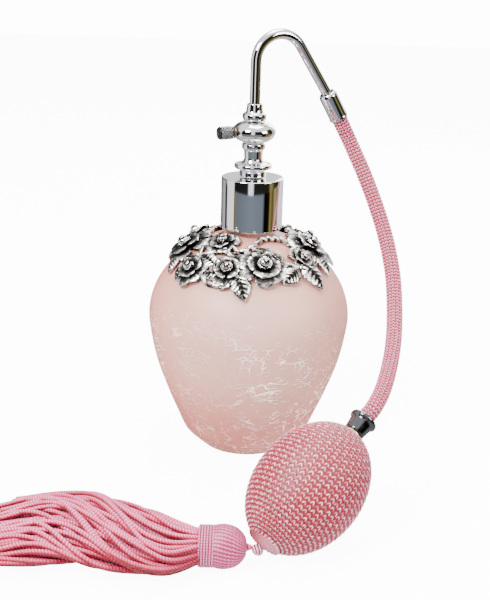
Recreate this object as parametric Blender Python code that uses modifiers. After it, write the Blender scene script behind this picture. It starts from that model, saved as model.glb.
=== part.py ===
"""Perfume atomiser with a squeeze bulb: a glass bottle with a cast flower collar, a screw-on
metal sprayer, and a hose, netted rubber bulb and tassel beside it.

Metres, +Z up. The origin is the centre of the bottle's flat base, on the surface it stands on."""

import math

import bmesh
import bpy
from mathutils import Matrix, Vector

MM = 0.001
NAME = "perfume_atomiser"
TURNS = 40  # sides of a large turned piece
SMALL_TURNS = 20  # sides of a small turned piece

# Bottle
NECK_RADIUS = 7.0 * MM
NECK_BORE = 5.2 * MM
NECK_ROOT_Z = 72.0 * MM
LIP_Z = 86.0 * MM
FLOOR_THICKNESS = 7.0 * MM
WALL = 3.2 * MM
# Radii of the outside at rising heights, from the foot to the neck's root
BOTTLE_OUTSIDE = [
    (14.8, 0.0), (16.1, 1.2), (18.1, 3.0), (20.9, 6.0), (23.6, 12.0), (26.9, 20.0), (30.4, 30.0),
    (32.5, 40.0), (32.9, 47.0), (31.1, 54.0), (27.5, 60.0), (22.6, 65.0), (16.5, 69.2), (9.6, 72.0),
]

# Screw collar and its thread
COLLAR_RADIUS = 10.0 * MM
COLLAR_BOTTOM_Z = 74.4 * MM
COLLAR_TOP_Z = 90.8 * MM
THREAD_PITCH = 3.0 * MM
THREAD_TURNS = 1.5
THREAD_WIRE = 0.55 * MM
THREAD_START_Z = 77.5 * MM
THREAD_STEPS = 24

# Flower collar: each place is an angle in degrees about the bottle and a height in mm on its shoulder
VINE_STEPS = 42
VINE_HEIGHT = 65.6
VINE_WAVE = 1.9
VINE_WAVES = 6
VINE_RADIUS = 1.2 * MM
ROSE_PLACES = [  # angle, height, radius in mm
    (-78.0, 66.0, 6.4), (-8.0, 67.0, 6.0), (-170.0, 65.8, 6.2), (-107.0, 64.4, 5.0), (-134.0, 68.4, 3.8),
    (52.0, 65.8, 6.2), (112.0, 65.8, 6.2),
]
LEAF_PLACES = [  # angle, height, turn from upright in degrees, half length in mm
    (-96.0, 61.2, -12.0, 4.2), (-39.0, 62.8, 8.0, 5.2), (-8.0, 62.4, 40.0, 5.0), (-134.0, 61.8, 10.0, 4.6),
    (-152.0, 63.2, -20.0, 4.4), (172.0, 68.6, 60.0, 4.0), (22.0, 63.0, -10.0, 4.8), (82.0, 62.6, 6.0, 4.8),
    (142.0, 62.8, -8.0, 4.8),
]

# Spray head, on the bottle's axis
BALL_Z = 105.3 * MM
BALL_RADIUS = 6.9 * MM
BALL_HALF_HEIGHT = 3.3 * MM
BOSS_TOP_Z = 114.1 * MM
HEAD_AZIMUTH = math.radians(27.0)  # the gooseneck leans out this way, the nozzle the other way
TUBE_RADIUS = 1.7 * MM
TUBE_BORE = 0.9 * MM
BEND_RADIUS = 8.5 * MM
BEND_Z = 126.9 * MM
LEG_SLOPE = math.radians(55.6)  # below the horizontal
LEG_END = 26.7 * MM  # distance out from the axis at the upper ferrule
LEG_END_Z = 115.4 * MM

# Hose
HOSE_RADIUS = 2.65 * MM
HOSE_POINTS = 15
# The hose's route in mm, from the gooseneck's ferrule to the bulb's
HOSE_ROUTE = [
    (28.0, 14.3, 107.7), (29.8, 15.0, 104.2), (32.4, 14.8, 99.2), (38.1, 10.8, 87.5), (43.2, 3.8, 74.4), (45.9, -5.5, 63.0),
    (46.3, -15.0, 53.4), (45.4, -25.0, 45.6), (43.3, -35.0, 40.3), (40.4, -45.0, 36.6), (37.4, -51.1, 33.75),
    (35.05, -53.65, 31.75),
]

# Bulb, turned about its own axis; heights along that axis are from its centre
BULB_CENTRE = Vector((18.3, -71.0, 17.55)) * MM
BULB_AXIS = Vector((0.598, 0.620, 0.507)).normalized()
BULB_HALF_LENGTH = 21.3 * MM
BULB_RADIUS = 15.9 * MM
NET_THICKNESS = 0.8 * MM
RUBBER_THICKNESS = 1.6 * MM

# Tassel, laid along -X from the bulb's tail
TASSEL_Y = -85.2 * MM
TASSEL_Z = 6.35 * MM
TASSEL_TIP_X = 1.6 * MM
TASSEL_HEAD_RADIUS = 6.1 * MM

PINK_GLASS = (0.92, 0.74, 0.72)
SILVER = (0.62, 0.60, 0.57)
CHROME = (0.80, 0.80, 0.82)
DARK_CHROME = (0.30, 0.30, 0.33)
WHITE_PLASTIC = (0.86, 0.86, 0.84)
PINK_CORD = (0.90, 0.42, 0.50)
PINK_RUBBER = (0.78, 0.40, 0.38)
BRASS = (0.72, 0.56, 0.30)
BEAD_WOOD = (0.70, 0.55, 0.38)


def clear_scene():
    for item in list(bpy.data.objects):
        bpy.data.objects.remove(item)


def collection(name):
    made = bpy.data.collections.new(name)
    bpy.context.scene.collection.children.link(made)
    return made


clear_scene()
PARTS = collection(NAME)
CUTTERS = collection(NAME + "_cutters")


def material(name, colour, roughness, metallic):
    made = bpy.data.materials.get(name)
    if made is None:
        made = bpy.data.materials.new(name)
        made.use_nodes = True
        shader = made.node_tree.nodes["Principled BSDF"]
        shader.inputs["Base Color"].default_value = (*colour, 1.0)
        shader.inputs["Roughness"].default_value = roughness
        shader.inputs["Metallic"].default_value = metallic
    return made


def link(item, look, cutter=False):
    """Put an object in its collection, with its own material."""
    (CUTTERS if cutter else PARTS).objects.link(item)
    if cutter:
        item.hide_render = True
        item.display_type = "WIRE"
    elif look:
        item.data.materials.append(material(item.name, *look))
    return item


def turned(name, profile, look=None, sides=SMALL_TURNS, cutter=False):
    """A profile of (radius, height) in mm, outer side from top to bottom, turned about Z."""
    mesh = bpy.data.meshes.new(name)
    points = [(radius * MM, 0.0, height * MM) for radius, height in profile]
    closed = profile[0][0] > 0.0 and profile[-1][0] > 0.0
    count = len(points)
    edges = [(i, (i + 1) % count) for i in range(count if closed else count - 1)]
    mesh.from_pydata(points, edges, [])
    item = link(bpy.data.objects.new(name, mesh), None, cutter)
    screw = item.modifiers.new("turn", "SCREW")
    screw.steps = sides
    screw.render_steps = sides
    screw.use_merge_vertices = True
    screw.merge_threshold = 0.00001
    screw.use_smooth_shade = True
    if not cutter:
        item.data.materials.append(material(name, *look))
    return item


def place(item, origin, direction, spin=0.0):
    """Stand a turned piece's Z along a direction, with its zero height at the origin."""
    turn = Vector(direction).to_track_quat("Z", "Y").to_matrix().to_4x4()
    item.matrix_world = Matrix.Translation(origin) @ turn @ Matrix.Rotation(spin, 4, "Z")
    return item


def curve_object(name, points, radius, look=None, sides=2, caps=True, cyclic=False, cutter=False):
    """A tube of one radius through the points."""
    data = bpy.data.curves.new(name, "CURVE")
    data.dimensions = "3D"
    data.bevel_depth = radius
    data.bevel_resolution = sides
    data.use_fill_caps = caps
    data.twist_mode = "MINIMUM"
    spline = data.splines.new("POLY")
    spline.points.add(len(points) - 1)
    for point, at in zip(spline.points, points):
        point.co = (*at, 1.0)
    spline.use_cyclic_u = cyclic
    item = link(bpy.data.objects.new(name, data), None, cutter)
    if look:
        item.data.materials.append(material(name, *look))
    return item


def as_mesh(item):
    """Replace a curve, or a piece with modifiers, by its plain mesh at the same place."""
    graph = bpy.context.evaluated_depsgraph_get()
    graph.update()
    mesh = bpy.data.meshes.new_from_object(item.evaluated_get(graph))
    shape = bmesh.new()
    shape.from_mesh(mesh)
    bmesh.ops.remove_doubles(shape, verts=shape.verts, dist=0.000002)
    bmesh.ops.recalc_face_normals(shape, faces=shape.faces)
    shape.to_mesh(mesh)
    shape.free()
    name = item.name
    homes = list(item.users_collection)
    made = bpy.data.objects.new(name + "_mesh", mesh)
    made.matrix_world = item.matrix_world
    made.hide_render = item.hide_render
    made.display_type = item.display_type
    for home in homes:
        home.objects.link(made)
    bpy.data.objects.remove(item)
    made.name = name
    return made


def boolean(item, cutter, operation):
    change = item.modifiers.new(cutter.name, "BOOLEAN")
    change.operation = operation
    change.object = cutter
    change.solver = "EXACT"
    return change


def swept_curve(points, count):
    """Evenly spaced points on the smooth Catmull-Rom curve through the given ones."""
    knots = [Vector(point) * MM for point in points]
    ends = [knots[0] * 2.0 - knots[1]] + knots + [knots[-1] * 2.0 - knots[-2]]
    fine = []
    for i in range(1, len(ends) - 2):
        a, b, c, d = ends[i - 1:i + 3]
        for step in range(20):
            t = step / 20.0
            even = 2.0 * b + (c - a) * t + (2.0 * a - 5.0 * b + 4.0 * c - d) * t * t
            fine.append((even + (3.0 * b - a - 3.0 * c + d) * t ** 3) * 0.5)
    fine.append(knots[-1])
    reach = [0.0]
    for before, after in zip(fine, fine[1:]):
        reach.append(reach[-1] + (after - before).length)
    spaced = []
    at = 0
    for i in range(count):
        goal = reach[-1] * i / (count - 1)
        while at < len(fine) - 2 and reach[at + 1] < goal:
            at += 1
        share = (goal - reach[at]) / (reach[at + 1] - reach[at])
        spaced.append(fine[at].lerp(fine[at + 1], min(share, 1.0)))
    return spaced


def outward(distance, height):
    """A point in the gooseneck's upright plane, from its distance out and its height."""
    return Vector((distance * math.cos(HEAD_AZIMUTH), distance * math.sin(HEAD_AZIMUTH), height))


def helix(radius, start_z, turns, steps):
    path = []
    for i in range(steps + 1):
        angle = 2.0 * math.pi * turns * i / steps
        rise = start_z + THREAD_PITCH * turns * i / steps
        path.append((radius * math.cos(angle), radius * math.sin(angle), rise))
    return path


# ---------------------------------------------------------------- bottle


def bottle_radius(height):
    """The outside radius of the bottle at a height, both in mm, by straight steps."""
    for (low_r, low_z), (high_r, high_z) in zip(BOTTLE_OUTSIDE, BOTTLE_OUTSIDE[1:]):
        if low_z <= height <= high_z:
            return low_r + (high_r - low_r) * (height - low_z) / (high_z - low_z)
    return NECK_RADIUS / MM


def glass_bottle():
    """Thick-floored glass with a threaded neck, open at the top."""
    lip = LIP_Z / MM
    neck = NECK_RADIUS / MM
    bore = NECK_BORE / MM
    wall = WALL / MM
    profile = [(bore, lip), (neck - 0.3, lip), (neck, lip - 0.3), (neck, NECK_ROOT_Z / MM + 0.6)]
    profile += [point for point in reversed(BOTTLE_OUTSIDE)]
    inside = [(0.0, FLOOR_THICKNESS / MM), (11.0, FLOOR_THICKNESS / MM + 0.4)]
    for height in (9.5, 14.0, 22.0, 31.0, 40.0, 47.0, 54.0, 59.0, 63.0, 66.6):
        inside.append((bottle_radius(height) - wall, height))
    inside += [(bore + 1.2, 69.8), (bore, 71.5)]
    body = turned("glass_bottle", profile + [(0.0, 0.0)] + inside + [(bore, lip)],
                  (PINK_GLASS, 0.35, 0.0), sides=TURNS)
    ridge = as_mesh(curve_object("neck_thread", helix(NECK_RADIUS + 0.1 * MM, THREAD_START_Z, THREAD_TURNS, THREAD_STEPS),
                                 THREAD_WIRE, sides=0, cutter=True))
    boolean(body, ridge, "UNION")
    return body


def shoulder_point(height, angle, lift):
    """A point lifted off the shoulder along its normal, with that normal; mm and radians."""
    radius = bottle_radius(height)
    slope = (bottle_radius(height + 1.0) - bottle_radius(height - 1.0)) / 2.0
    normal = Vector((math.cos(angle), math.sin(angle), -slope)).normalized()
    at = Vector((radius * math.cos(angle), radius * math.sin(angle), height))
    return (at + normal * lift) * MM, normal


def lump(name, width, length, thickness, height, angle, turn, lift):
    """A flattened round lump lying on the shoulder, for a petal ring or a leaf."""
    mesh = bpy.data.meshes.new(name)
    shape = bmesh.new()
    bmesh.ops.create_uvsphere(shape, u_segments=10, v_segments=5, radius=1.0)
    bmesh.ops.scale(shape, vec=(width * MM, length * MM, thickness * MM), verts=shape.verts)
    shape.to_mesh(mesh)
    shape.free()
    item = link(bpy.data.objects.new(name, mesh), None, cutter=True)
    at, normal = shoulder_point(height, angle, lift)
    return place(item, at, normal, turn)


def flower_collar():
    """A cast ring of roses, leaves and two winding vines that rests on the shoulder."""
    vines = []
    for side in (1.0, -1.0):
        path = []
        for i in range(VINE_STEPS):
            angle = 2.0 * math.pi * i / VINE_STEPS
            wave = side * math.sin(VINE_WAVES * angle)
            point, _ = shoulder_point(VINE_HEIGHT + VINE_WAVE * wave, angle, 1.2)
            path.append(point)
        vines.append(path)
    ring = as_mesh(curve_object("flower_collar", vines[0], VINE_RADIUS, sides=0, cyclic=True))
    ring.data.materials.append(material("flower_collar", SILVER, 0.30, 1.0))
    other = as_mesh(curve_object("vine_b", vines[1], VINE_RADIUS, sides=0, cyclic=True, cutter=True))
    boolean(ring, other, "UNION")
    for i, (angle, height, radius) in enumerate(ROSE_PLACES):
        at = math.radians(angle)
        boolean(ring, lump(f"rose_{i}", radius, radius * 0.9, 2.6, height, at, 0.4 * i, 1.3), "UNION")
        boolean(ring, lump(f"rose_heart_{i}", radius * 0.45, radius * 0.42, 2.2, height, at, 0.0, 2.8), "UNION")
    for i, (angle, height, turn, half) in enumerate(LEAF_PLACES):
        leaf = lump(f"leaf_{i}", half * 0.5, half, 1.0, height, math.radians(angle), math.radians(turn), 1.1)
        boolean(ring, leaf, "UNION")
    clear = turned("shoulder_clearance", [
        (0.0, 88.0), (NECK_RADIUS / MM + 1.9, 88.0), (NECK_RADIUS / MM + 1.9, 74.2),
        (bottle_radius(72.0) + 0.5, 72.5), (bottle_radius(69.2) + 0.3, 69.6), (bottle_radius(65.0) + 0.4, 65.4),
        (bottle_radius(60.0) + 0.4, 60.3), (bottle_radius(54.0) + 0.4, 54.1), (bottle_radius(47.0) + 0.4, 47.0),
        (20.0, 46.0), (0.0, 46.0)], sides=TURNS, cutter=True)
    boolean(ring, clear, "DIFFERENCE")
    return ring


# ---------------------------------------------------------------- screw collar and plug


def collar_pieces():
    top = COLLAR_TOP_Z / MM
    low = COLLAR_BOTTOM_Z / MM
    radius = COLLAR_RADIUS / MM
    turned("collar_shell", [
        (2.6, top), (radius - 0.5, top), (radius - 0.1, top - 0.2), (radius, top - 0.6), (radius, low + 0.3),
        (radius - 0.2, low), (radius - 0.5, low), (radius - 0.5, top - 0.6), (2.6, top - 0.6)],
        (CHROME, 0.10, 1.0), sides=TURNS)
    outer = radius - 0.8
    inner = 8.55
    liner = turned("collar_thread_insert", [
        (3.2, top - 0.9), (outer, top - 0.9), (outer, low + 0.3), (inner, low + 0.3), (inner, top - 1.7),
        (3.2, top - 1.7)], (WHITE_PLASTIC, 0.5, 0.0), sides=TURNS)
    ridge = as_mesh(curve_object("liner_thread",
                                 helix(8.6 * MM, THREAD_START_Z + THREAD_PITCH / 2.0, THREAD_TURNS, THREAD_STEPS),
                                 THREAD_WIRE, sides=0, cutter=True))
    boolean(liner, ridge, "UNION")
    gasket_z = LIP_Z / MM + 0.3
    turned("neck_gasket", [(7.0, gasket_z + 0.9), (7.0, gasket_z), (4.9, gasket_z), (4.9, gasket_z + 0.9)],
           (WHITE_PLASTIC, 0.8, 0.0), sides=28)
    flange_z = gasket_z + 1.2
    turned("tube_plug", [
        (0.8, 93.0), (2.2, 93.0), (2.2, flange_z + 1.1), (7.2, flange_z + 1.1), (7.2, flange_z), (4.6, flange_z),
        (4.6, 80.0), (1.8, 80.0), (1.8, 85.5), (0.8, 85.5)], (WHITE_PLASTIC, 0.5, 0.0), sides=28)


def dip_tube():
    """Pushed into the plug from below, reaching nearly to the glass floor, with a slant cut end."""
    turned("dip_tube", [(0.8, 85.2), (1.5, 85.2), (1.5, 8.6), (0.8, 8.6)], ((0.9, 0.9, 0.88), 0.3, 0.0), sides=12)


# ---------------------------------------------------------------- spray head


def head_pieces():
    ball = BALL_Z / MM
    wide = BALL_RADIUS / MM
    tall = BALL_HALF_HEIGHT / MM
    turned("head_stem", [
        (0.8, 101.8), (3.4, 101.8), (3.75, 101.3), (3.75, 100.1), (3.4, 99.5), (3.0, 98.6), (3.0, 96.4),
        (3.7, 95.3), (5.8, 95.0), (6.05, 94.4), (5.9, 93.7), (4.6, 93.3), (4.2, 92.8), (4.2, 91.1),
        (2.5, 91.1), (2.5, 93.4), (0.8, 93.4)], (CHROME, 0.10, 1.0), sides=28)
    arc = []
    for i in range(9):
        angle = math.radians(62.0 - 124.0 * i / 8)
        arc.append((wide * math.cos(angle) ** 0.8, ball + tall * math.sin(angle) / math.sin(math.radians(62.0))))
    body = turned("head_ball", [(0.9, ball + tall)] + arc + [(0.9, ball - tall)], (CHROME, 0.10, 1.0), sides=28)
    hole = turned("nozzle_hole", [(0.0, 8.0), (1.6, 8.0), (1.6, 4.0), (0.5, 3.4), (0.5, 0.0), (0.0, 0.0)],
                  sides=12, cutter=True)
    place(hole, Vector((0.0, 0.0, BALL_Z)), -outward(1.0, 0.0))
    boolean(body, hole, "DIFFERENCE")
    turned("gooseneck_nut", [
        (2.0, BOSS_TOP_Z / MM), (2.4, BOSS_TOP_Z / MM), (2.7, 111.6), (3.5, 111.1), (3.8, 110.6), (3.8, 109.6),
        (3.5, 108.9), (0.9, 108.9), (0.9, 109.7), (2.0, 109.7)], (CHROME, 0.10, 1.0), sides=24)


def gooseneck_path():
    """Up the bottle's axis, over a round bend, and down a straight leg to the ferrule."""
    path = [outward(0.0, 110.0 * MM), outward(0.0, 118.5 * MM)]
    turn = math.pi - (math.pi / 2.0 - LEG_SLOPE)
    steps = 16
    for i in range(steps + 1):
        angle = turn * i / steps
        path.append(outward(BEND_RADIUS * (1.0 - math.cos(angle)), BEND_Z + BEND_RADIUS * math.sin(angle)))
    path.append(outward(LEG_END, LEG_END_Z))
    return path


def tube_and_ferrule():
    path = gooseneck_path()
    tube = curve_object("gooseneck_tube", path, TUBE_RADIUS, (CHROME, 0.10, 1.0), sides=3, caps=False)
    wall = tube.modifiers.new("wall", "SOLIDIFY")
    wall.thickness = TUBE_RADIUS - TUBE_BORE
    wall.offset = -1.0
    start = Vector(HOSE_ROUTE[0]) * MM
    along = (path[-1] - start).normalized()
    length = (path[-1] - start).length / MM
    upper = turned("upper_ferrule", [
        (2.0, length + 1.4), (2.4, length + 1.3), (2.9, length + 0.7), (3.05, length - 0.1), (3.05, 1.3),
        (3.15, 1.1), (3.15, 0.7), (2.3, 0.7), (2.3, length - 0.6), (2.0, length - 0.6)],
        (CHROME, 0.10, 1.0), sides=24)
    place(upper, start, along)
    barb = turned("hose_barb", [
        (0.7, length - 0.9), (1.9, length - 0.9), (1.9, length - 1.9), (1.3, length - 2.3), (1.7, length - 3.3),
        (1.3, length - 3.5), (1.7, length - 4.5), (1.3, length - 4.7), (1.5, length - 5.4), (0.7, length - 5.4)],
        (BRASS, 0.35, 1.0), sides=12)
    place(barb, start, along)


def nozzle_pieces():
    """A knurled cap over a jet, with a seal against the ball, pointing away from the gooseneck."""
    centre = Vector((0.0, 0.0, BALL_Z))
    away = -outward(1.0, 0.0)
    jet = turned("nozzle_jet", [
        (0.35, 11.6), (1.0, 11.6), (1.0, 9.0), (1.3, 8.8), (1.3, 4.4), (0.35, 4.4)], (BRASS, 0.35, 1.0), sides=12)
    place(jet, centre, away)
    seal = turned("nozzle_seal", [(2.0, 7.6), (2.0, 7.25), (1.6, 7.25), (1.6, 7.6)], ((0.05, 0.05, 0.05), 0.7, 0.0),
                  sides=16)
    place(seal, centre, away)
    cap = turned("nozzle_cap", [
        (0.5, 12.4), (1.9, 12.4), (2.15, 12.1), (2.15, 8.2), (1.95, 7.9), (1.6, 7.9), (1.6, 9.1), (1.3, 9.3),
        (1.3, 11.9), (0.5, 11.9)], (DARK_CHROME, 0.25, 1.0), sides=24)
    place(cap, centre, away)


# ---------------------------------------------------------------- hose and bulb


def hose():
    """A soft tube in a woven sleeve, held at both ends by its ferrules."""
    curve_object("hose", swept_curve(HOSE_ROUTE, HOSE_POINTS), HOSE_RADIUS, (PINK_CORD, 0.6, 0.0), sides=4)


def oval(half_length, radius, top_open, bottom_open, steps):
    """Points of an ellipse about a turned piece's axis, from a top opening radius to a bottom one, in mm."""
    first = math.acos(top_open / radius)
    last = -math.acos(bottom_open / radius)
    made = []
    for i in range(steps + 1):
        angle = first + (last - first) * i / steps
        made.append((round(radius * math.cos(angle), 6), half_length * math.sin(angle)))
    return made


def bulb_shell(name, half_length, radius, thickness, outer_open, inner_open, look):
    outer = oval(half_length, radius, outer_open, outer_open, 11)
    inner = oval(half_length - thickness, radius - thickness, inner_open, inner_open, 9)
    item = turned(name, outer + list(reversed(inner)), look, sides=26)
    return place(item, BULB_CENTRE, BULB_AXIS)


def valve(name, high, seat, low, look):
    """A tube with a chamber above a seat, where a loose disc lifts to pass air one way."""
    item = turned(name, [
        (0.8, high), (2.4, high), (2.4, low), (0.8, low), (0.8, seat), (1.8, seat), (1.8, seat + 2.0),
        (0.8, seat + 2.0)], look, sides=16)
    place(item, BULB_CENTRE, BULB_AXIS)
    disc = turned(name.replace("body", "disc"), [(0.0, seat + 0.8), (1.4, seat + 0.8), (1.4, seat + 0.3),
                                                 (0.0, seat + 0.3)], ((0.1, 0.1, 0.1), 0.7, 0.0), sides=12)
    place(disc, BULB_CENTRE, BULB_AXIS)


def bulb_pieces():
    half = BULB_HALF_LENGTH / MM
    wide = BULB_RADIUS / MM
    net = NET_THICKNESS / MM
    bulb_shell("net_cover", half, wide, net, 3.9, 3.5, (PINK_CORD, 0.6, 0.0))
    bulb_shell("rubber_bulb", half - net - 0.4, wide - net - 0.4, RUBBER_THICKNESS / MM, 3.7, 2.8,
               (PINK_RUBBER, 0.5, 0.0))
    valve("outlet_valve_body", 26.9, 22.4, 14.0, (BRASS, 0.4, 1.0))
    valve("intake_valve_body", -14.0, -19.0, -21.2, (BRASS, 0.4, 1.0))
    ferrule = turned("bulb_ferrule", [
        (2.3, 27.4), (3.9, 27.4), (4.25, 26.9), (4.25, 26.2), (3.9, 25.7), (3.5, 25.5), (3.1, 21.9), (2.9, 21.6),
        (2.7, 21.6), (2.7, 27.2), (2.3, 27.2)], (DARK_CHROME, 0.15, 1.0), sides=24)
    place(ferrule, BULB_CENTRE, BULB_AXIS)
    knot = turned("tail_knot", oval(1.5, 1.9, 0.0, 0.0, 8), (PINK_CORD, 0.7, 0.0), sides=16)
    place(knot, BULB_CENTRE + BULB_AXIS * -23.3 * MM, BULB_AXIS)


# ---------------------------------------------------------------- tassel


def tassel_pieces():
    tip = Vector((TASSEL_TIP_X, TASSEL_Y, TASSEL_Z))
    back = Vector((-1.0, 0.0, 0.0))
    radius = TASSEL_HEAD_RADIUS / MM
    dome = turned("tassel_head", [
        (5.0, 9.2), (radius - 0.3, 9.2), (radius, 7.6), (radius, 5.6), (radius - 0.7, 3.2), (4.0, 1.4), (2.4, 0.4),
        (1.2, 0.2), (1.2, 1.0), (2.6, 1.4), (4.2, 3.4), (5.0, 6.0)], (PINK_CORD, 0.6, 0.0), sides=24)
    place(dome, tip, back)
    core = turned("tassel_bead", oval(3.4, 4.2, 0.0, 0.0, 10), (BEAD_WOOD, 0.6, 0.0), sides=16)
    place(core, tip + back * 5.6 * MM, back)
    link_cord = turned("tassel_link", [(0.0, 1.7), (0.8, 1.7), (0.8, -0.35), (0.0, -0.35)], (PINK_CORD, 0.6, 0.0),
                       sides=12)
    place(link_cord, tip, back)
    band = turned("tassel_binding", [
        (4.4, 13.3), (5.5, 13.3), (5.8, 12.7), (5.8, 10.1), (5.5, 9.5), (4.4, 9.5)], (PINK_CORD, 0.55, 0.0), sides=24)
    place(band, tip, back)


# The skirt's cross-sections: distance from the tip along -X, centre's Y, centre's Z, half width, half height
SKIRT_SECTIONS = [
    (9.8, -85.2, 6.35, 3.7, 3.7), (13.7, -85.2, 6.35, 3.8, 3.8), (18.6, -88.6, 6.0, 10.3, 5.8),
    (25.6, -85.2, 6.2, 13.2, 6.1), (35.6, -79.3, 6.2, 16.4, 6.1), (45.6, -74.4, 5.9, 18.6, 5.8),
    (56.6, -73.8, 5.5, 18.8, 5.4), (67.6, -76.8, 4.9, 16.4, 4.8), (74.6, -78.6, 4.0, 13.6, 3.9),
]


def tassel_skirt():
    """A flattened fan of loose cords, as one soft solid resting on the surface."""
    mesh = bpy.data.meshes.new("tassel_skirt")
    shape = bmesh.new()
    sides = 16
    rings = []
    for out, y, z, wide, tall in SKIRT_SECTIONS:
        ring = []
        for i in range(sides):
            angle = 2.0 * math.pi * i / sides
            across = math.copysign(abs(math.cos(angle)) ** 0.9, math.cos(angle))
            up = math.copysign(abs(math.sin(angle)) ** 0.8, math.sin(angle))
            spot = (TASSEL_TIP_X - out * MM, (y + wide * across) * MM, (z + tall * up) * MM)
            ring.append(shape.verts.new(spot))
        rings.append(ring)
    for near, far in zip(rings, rings[1:]):
        for i in range(sides):
            j = (i + 1) % sides
            shape.faces.new((near[i], near[j], far[j], far[i]))
    shape.faces.new(rings[0])
    shape.faces.new(rings[-1])
    bmesh.ops.recalc_face_normals(shape, faces=shape.faces)
    shape.to_mesh(mesh)
    shape.free()
    link(bpy.data.objects.new("tassel_skirt", mesh), (PINK_CORD, 0.6, 0.0))


def main():
    glass_bottle()
    flower_collar()
    collar_pieces()
    dip_tube()
    head_pieces()
    tube_and_ferrule()
    nozzle_pieces()
    hose()
    bulb_pieces()
    tassel_pieces()
    tassel_skirt()


main()
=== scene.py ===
# %% [markdown]
# # A perfume atomiser
#
# The bottle is thick crackled glass with a frosted skin. A cast silver collar of roses lies on its
# shoulder, a chrome sprayer screws onto its neck, and a knitted hose runs to a rubber bulb in a net,
# with a tassel tied to the bulb's tail. Every new piece below is a surface worked out with numpy: a
# formula with two parameters, evaluated on a whole grid at once.

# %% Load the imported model
import math

import bmesh
import bpy
import numpy as np
from mathutils import Matrix, Vector


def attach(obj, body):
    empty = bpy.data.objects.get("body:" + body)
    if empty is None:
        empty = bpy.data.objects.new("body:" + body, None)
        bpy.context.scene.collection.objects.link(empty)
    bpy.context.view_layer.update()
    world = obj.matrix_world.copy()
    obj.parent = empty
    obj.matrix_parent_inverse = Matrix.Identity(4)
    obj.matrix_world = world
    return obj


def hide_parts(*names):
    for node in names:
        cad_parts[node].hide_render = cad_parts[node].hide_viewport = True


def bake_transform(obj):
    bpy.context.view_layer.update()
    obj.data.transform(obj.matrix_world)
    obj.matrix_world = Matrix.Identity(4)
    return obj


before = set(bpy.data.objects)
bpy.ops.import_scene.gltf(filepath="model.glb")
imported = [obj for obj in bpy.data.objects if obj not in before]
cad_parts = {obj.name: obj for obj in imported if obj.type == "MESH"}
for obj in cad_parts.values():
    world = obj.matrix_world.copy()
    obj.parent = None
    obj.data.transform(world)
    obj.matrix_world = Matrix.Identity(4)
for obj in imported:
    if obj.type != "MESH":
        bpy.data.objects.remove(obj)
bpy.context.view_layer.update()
MM = 0.001

# %% [markdown]
# ## Tools: a grid of points becomes a mesh
#
# Nearly everything here is a grid with rows and columns. Blender stores corners, not rows, so this one
# helper turns the row and column numbers into corners, gives each corner a place in the UV map (in real
# units where that helps a woven pattern), and can join the last column to the first. A stack of
# grids of the same size becomes one mesh, which is how many petals or cords are made at once.


# %% Grid to mesh
def surface(name, points, wrap_columns=False, uv_size=(1.0, 1.0), fields=None):
    """A mesh from points shaped (..., rows, columns, 3). uv runs across columns, then along rows."""
    rows, columns = points.shape[-3:-1]
    stack = points.reshape(-1, rows, columns, 3)
    count = len(stack)
    i = np.arange(rows - 1)
    j = np.arange(columns if wrap_columns else columns - 1)
    k, i, j = np.meshgrid(np.arange(count), i, j, indexing="ij")
    corner_k = np.repeat(k.reshape(-1), 4)
    corner_i = np.stack([i, i + 1, i + 1, i], axis=-1).reshape(-1)
    corner_j = np.stack([j, j, j + 1, j + 1], axis=-1).reshape(-1)
    vertex = (corner_k * rows + corner_i) * columns + corner_j % columns
    mesh = bpy.data.meshes.new(name)
    mesh.vertices.add(count * rows * columns)
    mesh.vertices.foreach_set("co", stack.astype(np.float32).reshape(-1))
    mesh.loops.add(vertex.size)
    mesh.loops.foreach_set("vertex_index", vertex.astype(np.int32))
    mesh.polygons.add(vertex.size // 4)
    mesh.polygons.foreach_set("loop_start", np.arange(0, vertex.size, 4, dtype=np.int32))
    across = corner_j / (columns if wrap_columns else columns - 1) * uv_size[0]
    along = corner_i / (rows - 1) * uv_size[1]
    mesh.uv_layers.new(name="UVMap").data.foreach_set("uv", np.stack([across, along], -1).reshape(-1))
    for field, values in (fields or {}).items():
        layer = mesh.attributes.new(field, "FLOAT", "POINT")
        spread = np.broadcast_to(values, stack.shape[:-1])
        layer.data.foreach_set("value", spread.astype(np.float32).reshape(-1))
    mesh.update(calc_edges=True)
    mesh.shade_smooth()
    return mesh


WELD = 0.002 * MM


def seal(mesh):
    """Weld the rings that close to a point at a pole or an end."""
    shape = bmesh.new()
    shape.from_mesh(mesh)
    bmesh.ops.remove_doubles(shape, verts=shape.verts, dist=WELD)
    bmesh.ops.dissolve_degenerate(shape, edges=shape.edges, dist=WELD)
    shape.to_mesh(mesh)
    shape.free()
    return mesh


def piece(name, mesh, look, body=None, stands_for=()):
    """Put a mesh in the scene as one piece, with its finish, its body and the CAD nodes it stands for."""
    made = bpy.data.objects.new(name, mesh)
    bpy.context.scene.collection.objects.link(made)
    mesh.materials.append(look)
    if body:
        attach(made, body)
    if stands_for:
        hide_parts(*stands_for)
    print(f"{name}: {len(mesh.polygons)} faces")
    return made


# %% [markdown]
# ## Tools: smooth lines and turned shapes
#
# Metal caps, ferrules and the bottle are turned shapes: one outline spun about an axis. An outline is
# given by its corners, and each corner is rounded by a short curve, because real edges catch a line of
# light. Round outlines, such as the bottle's, go through their points on a smooth spline instead.


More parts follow.
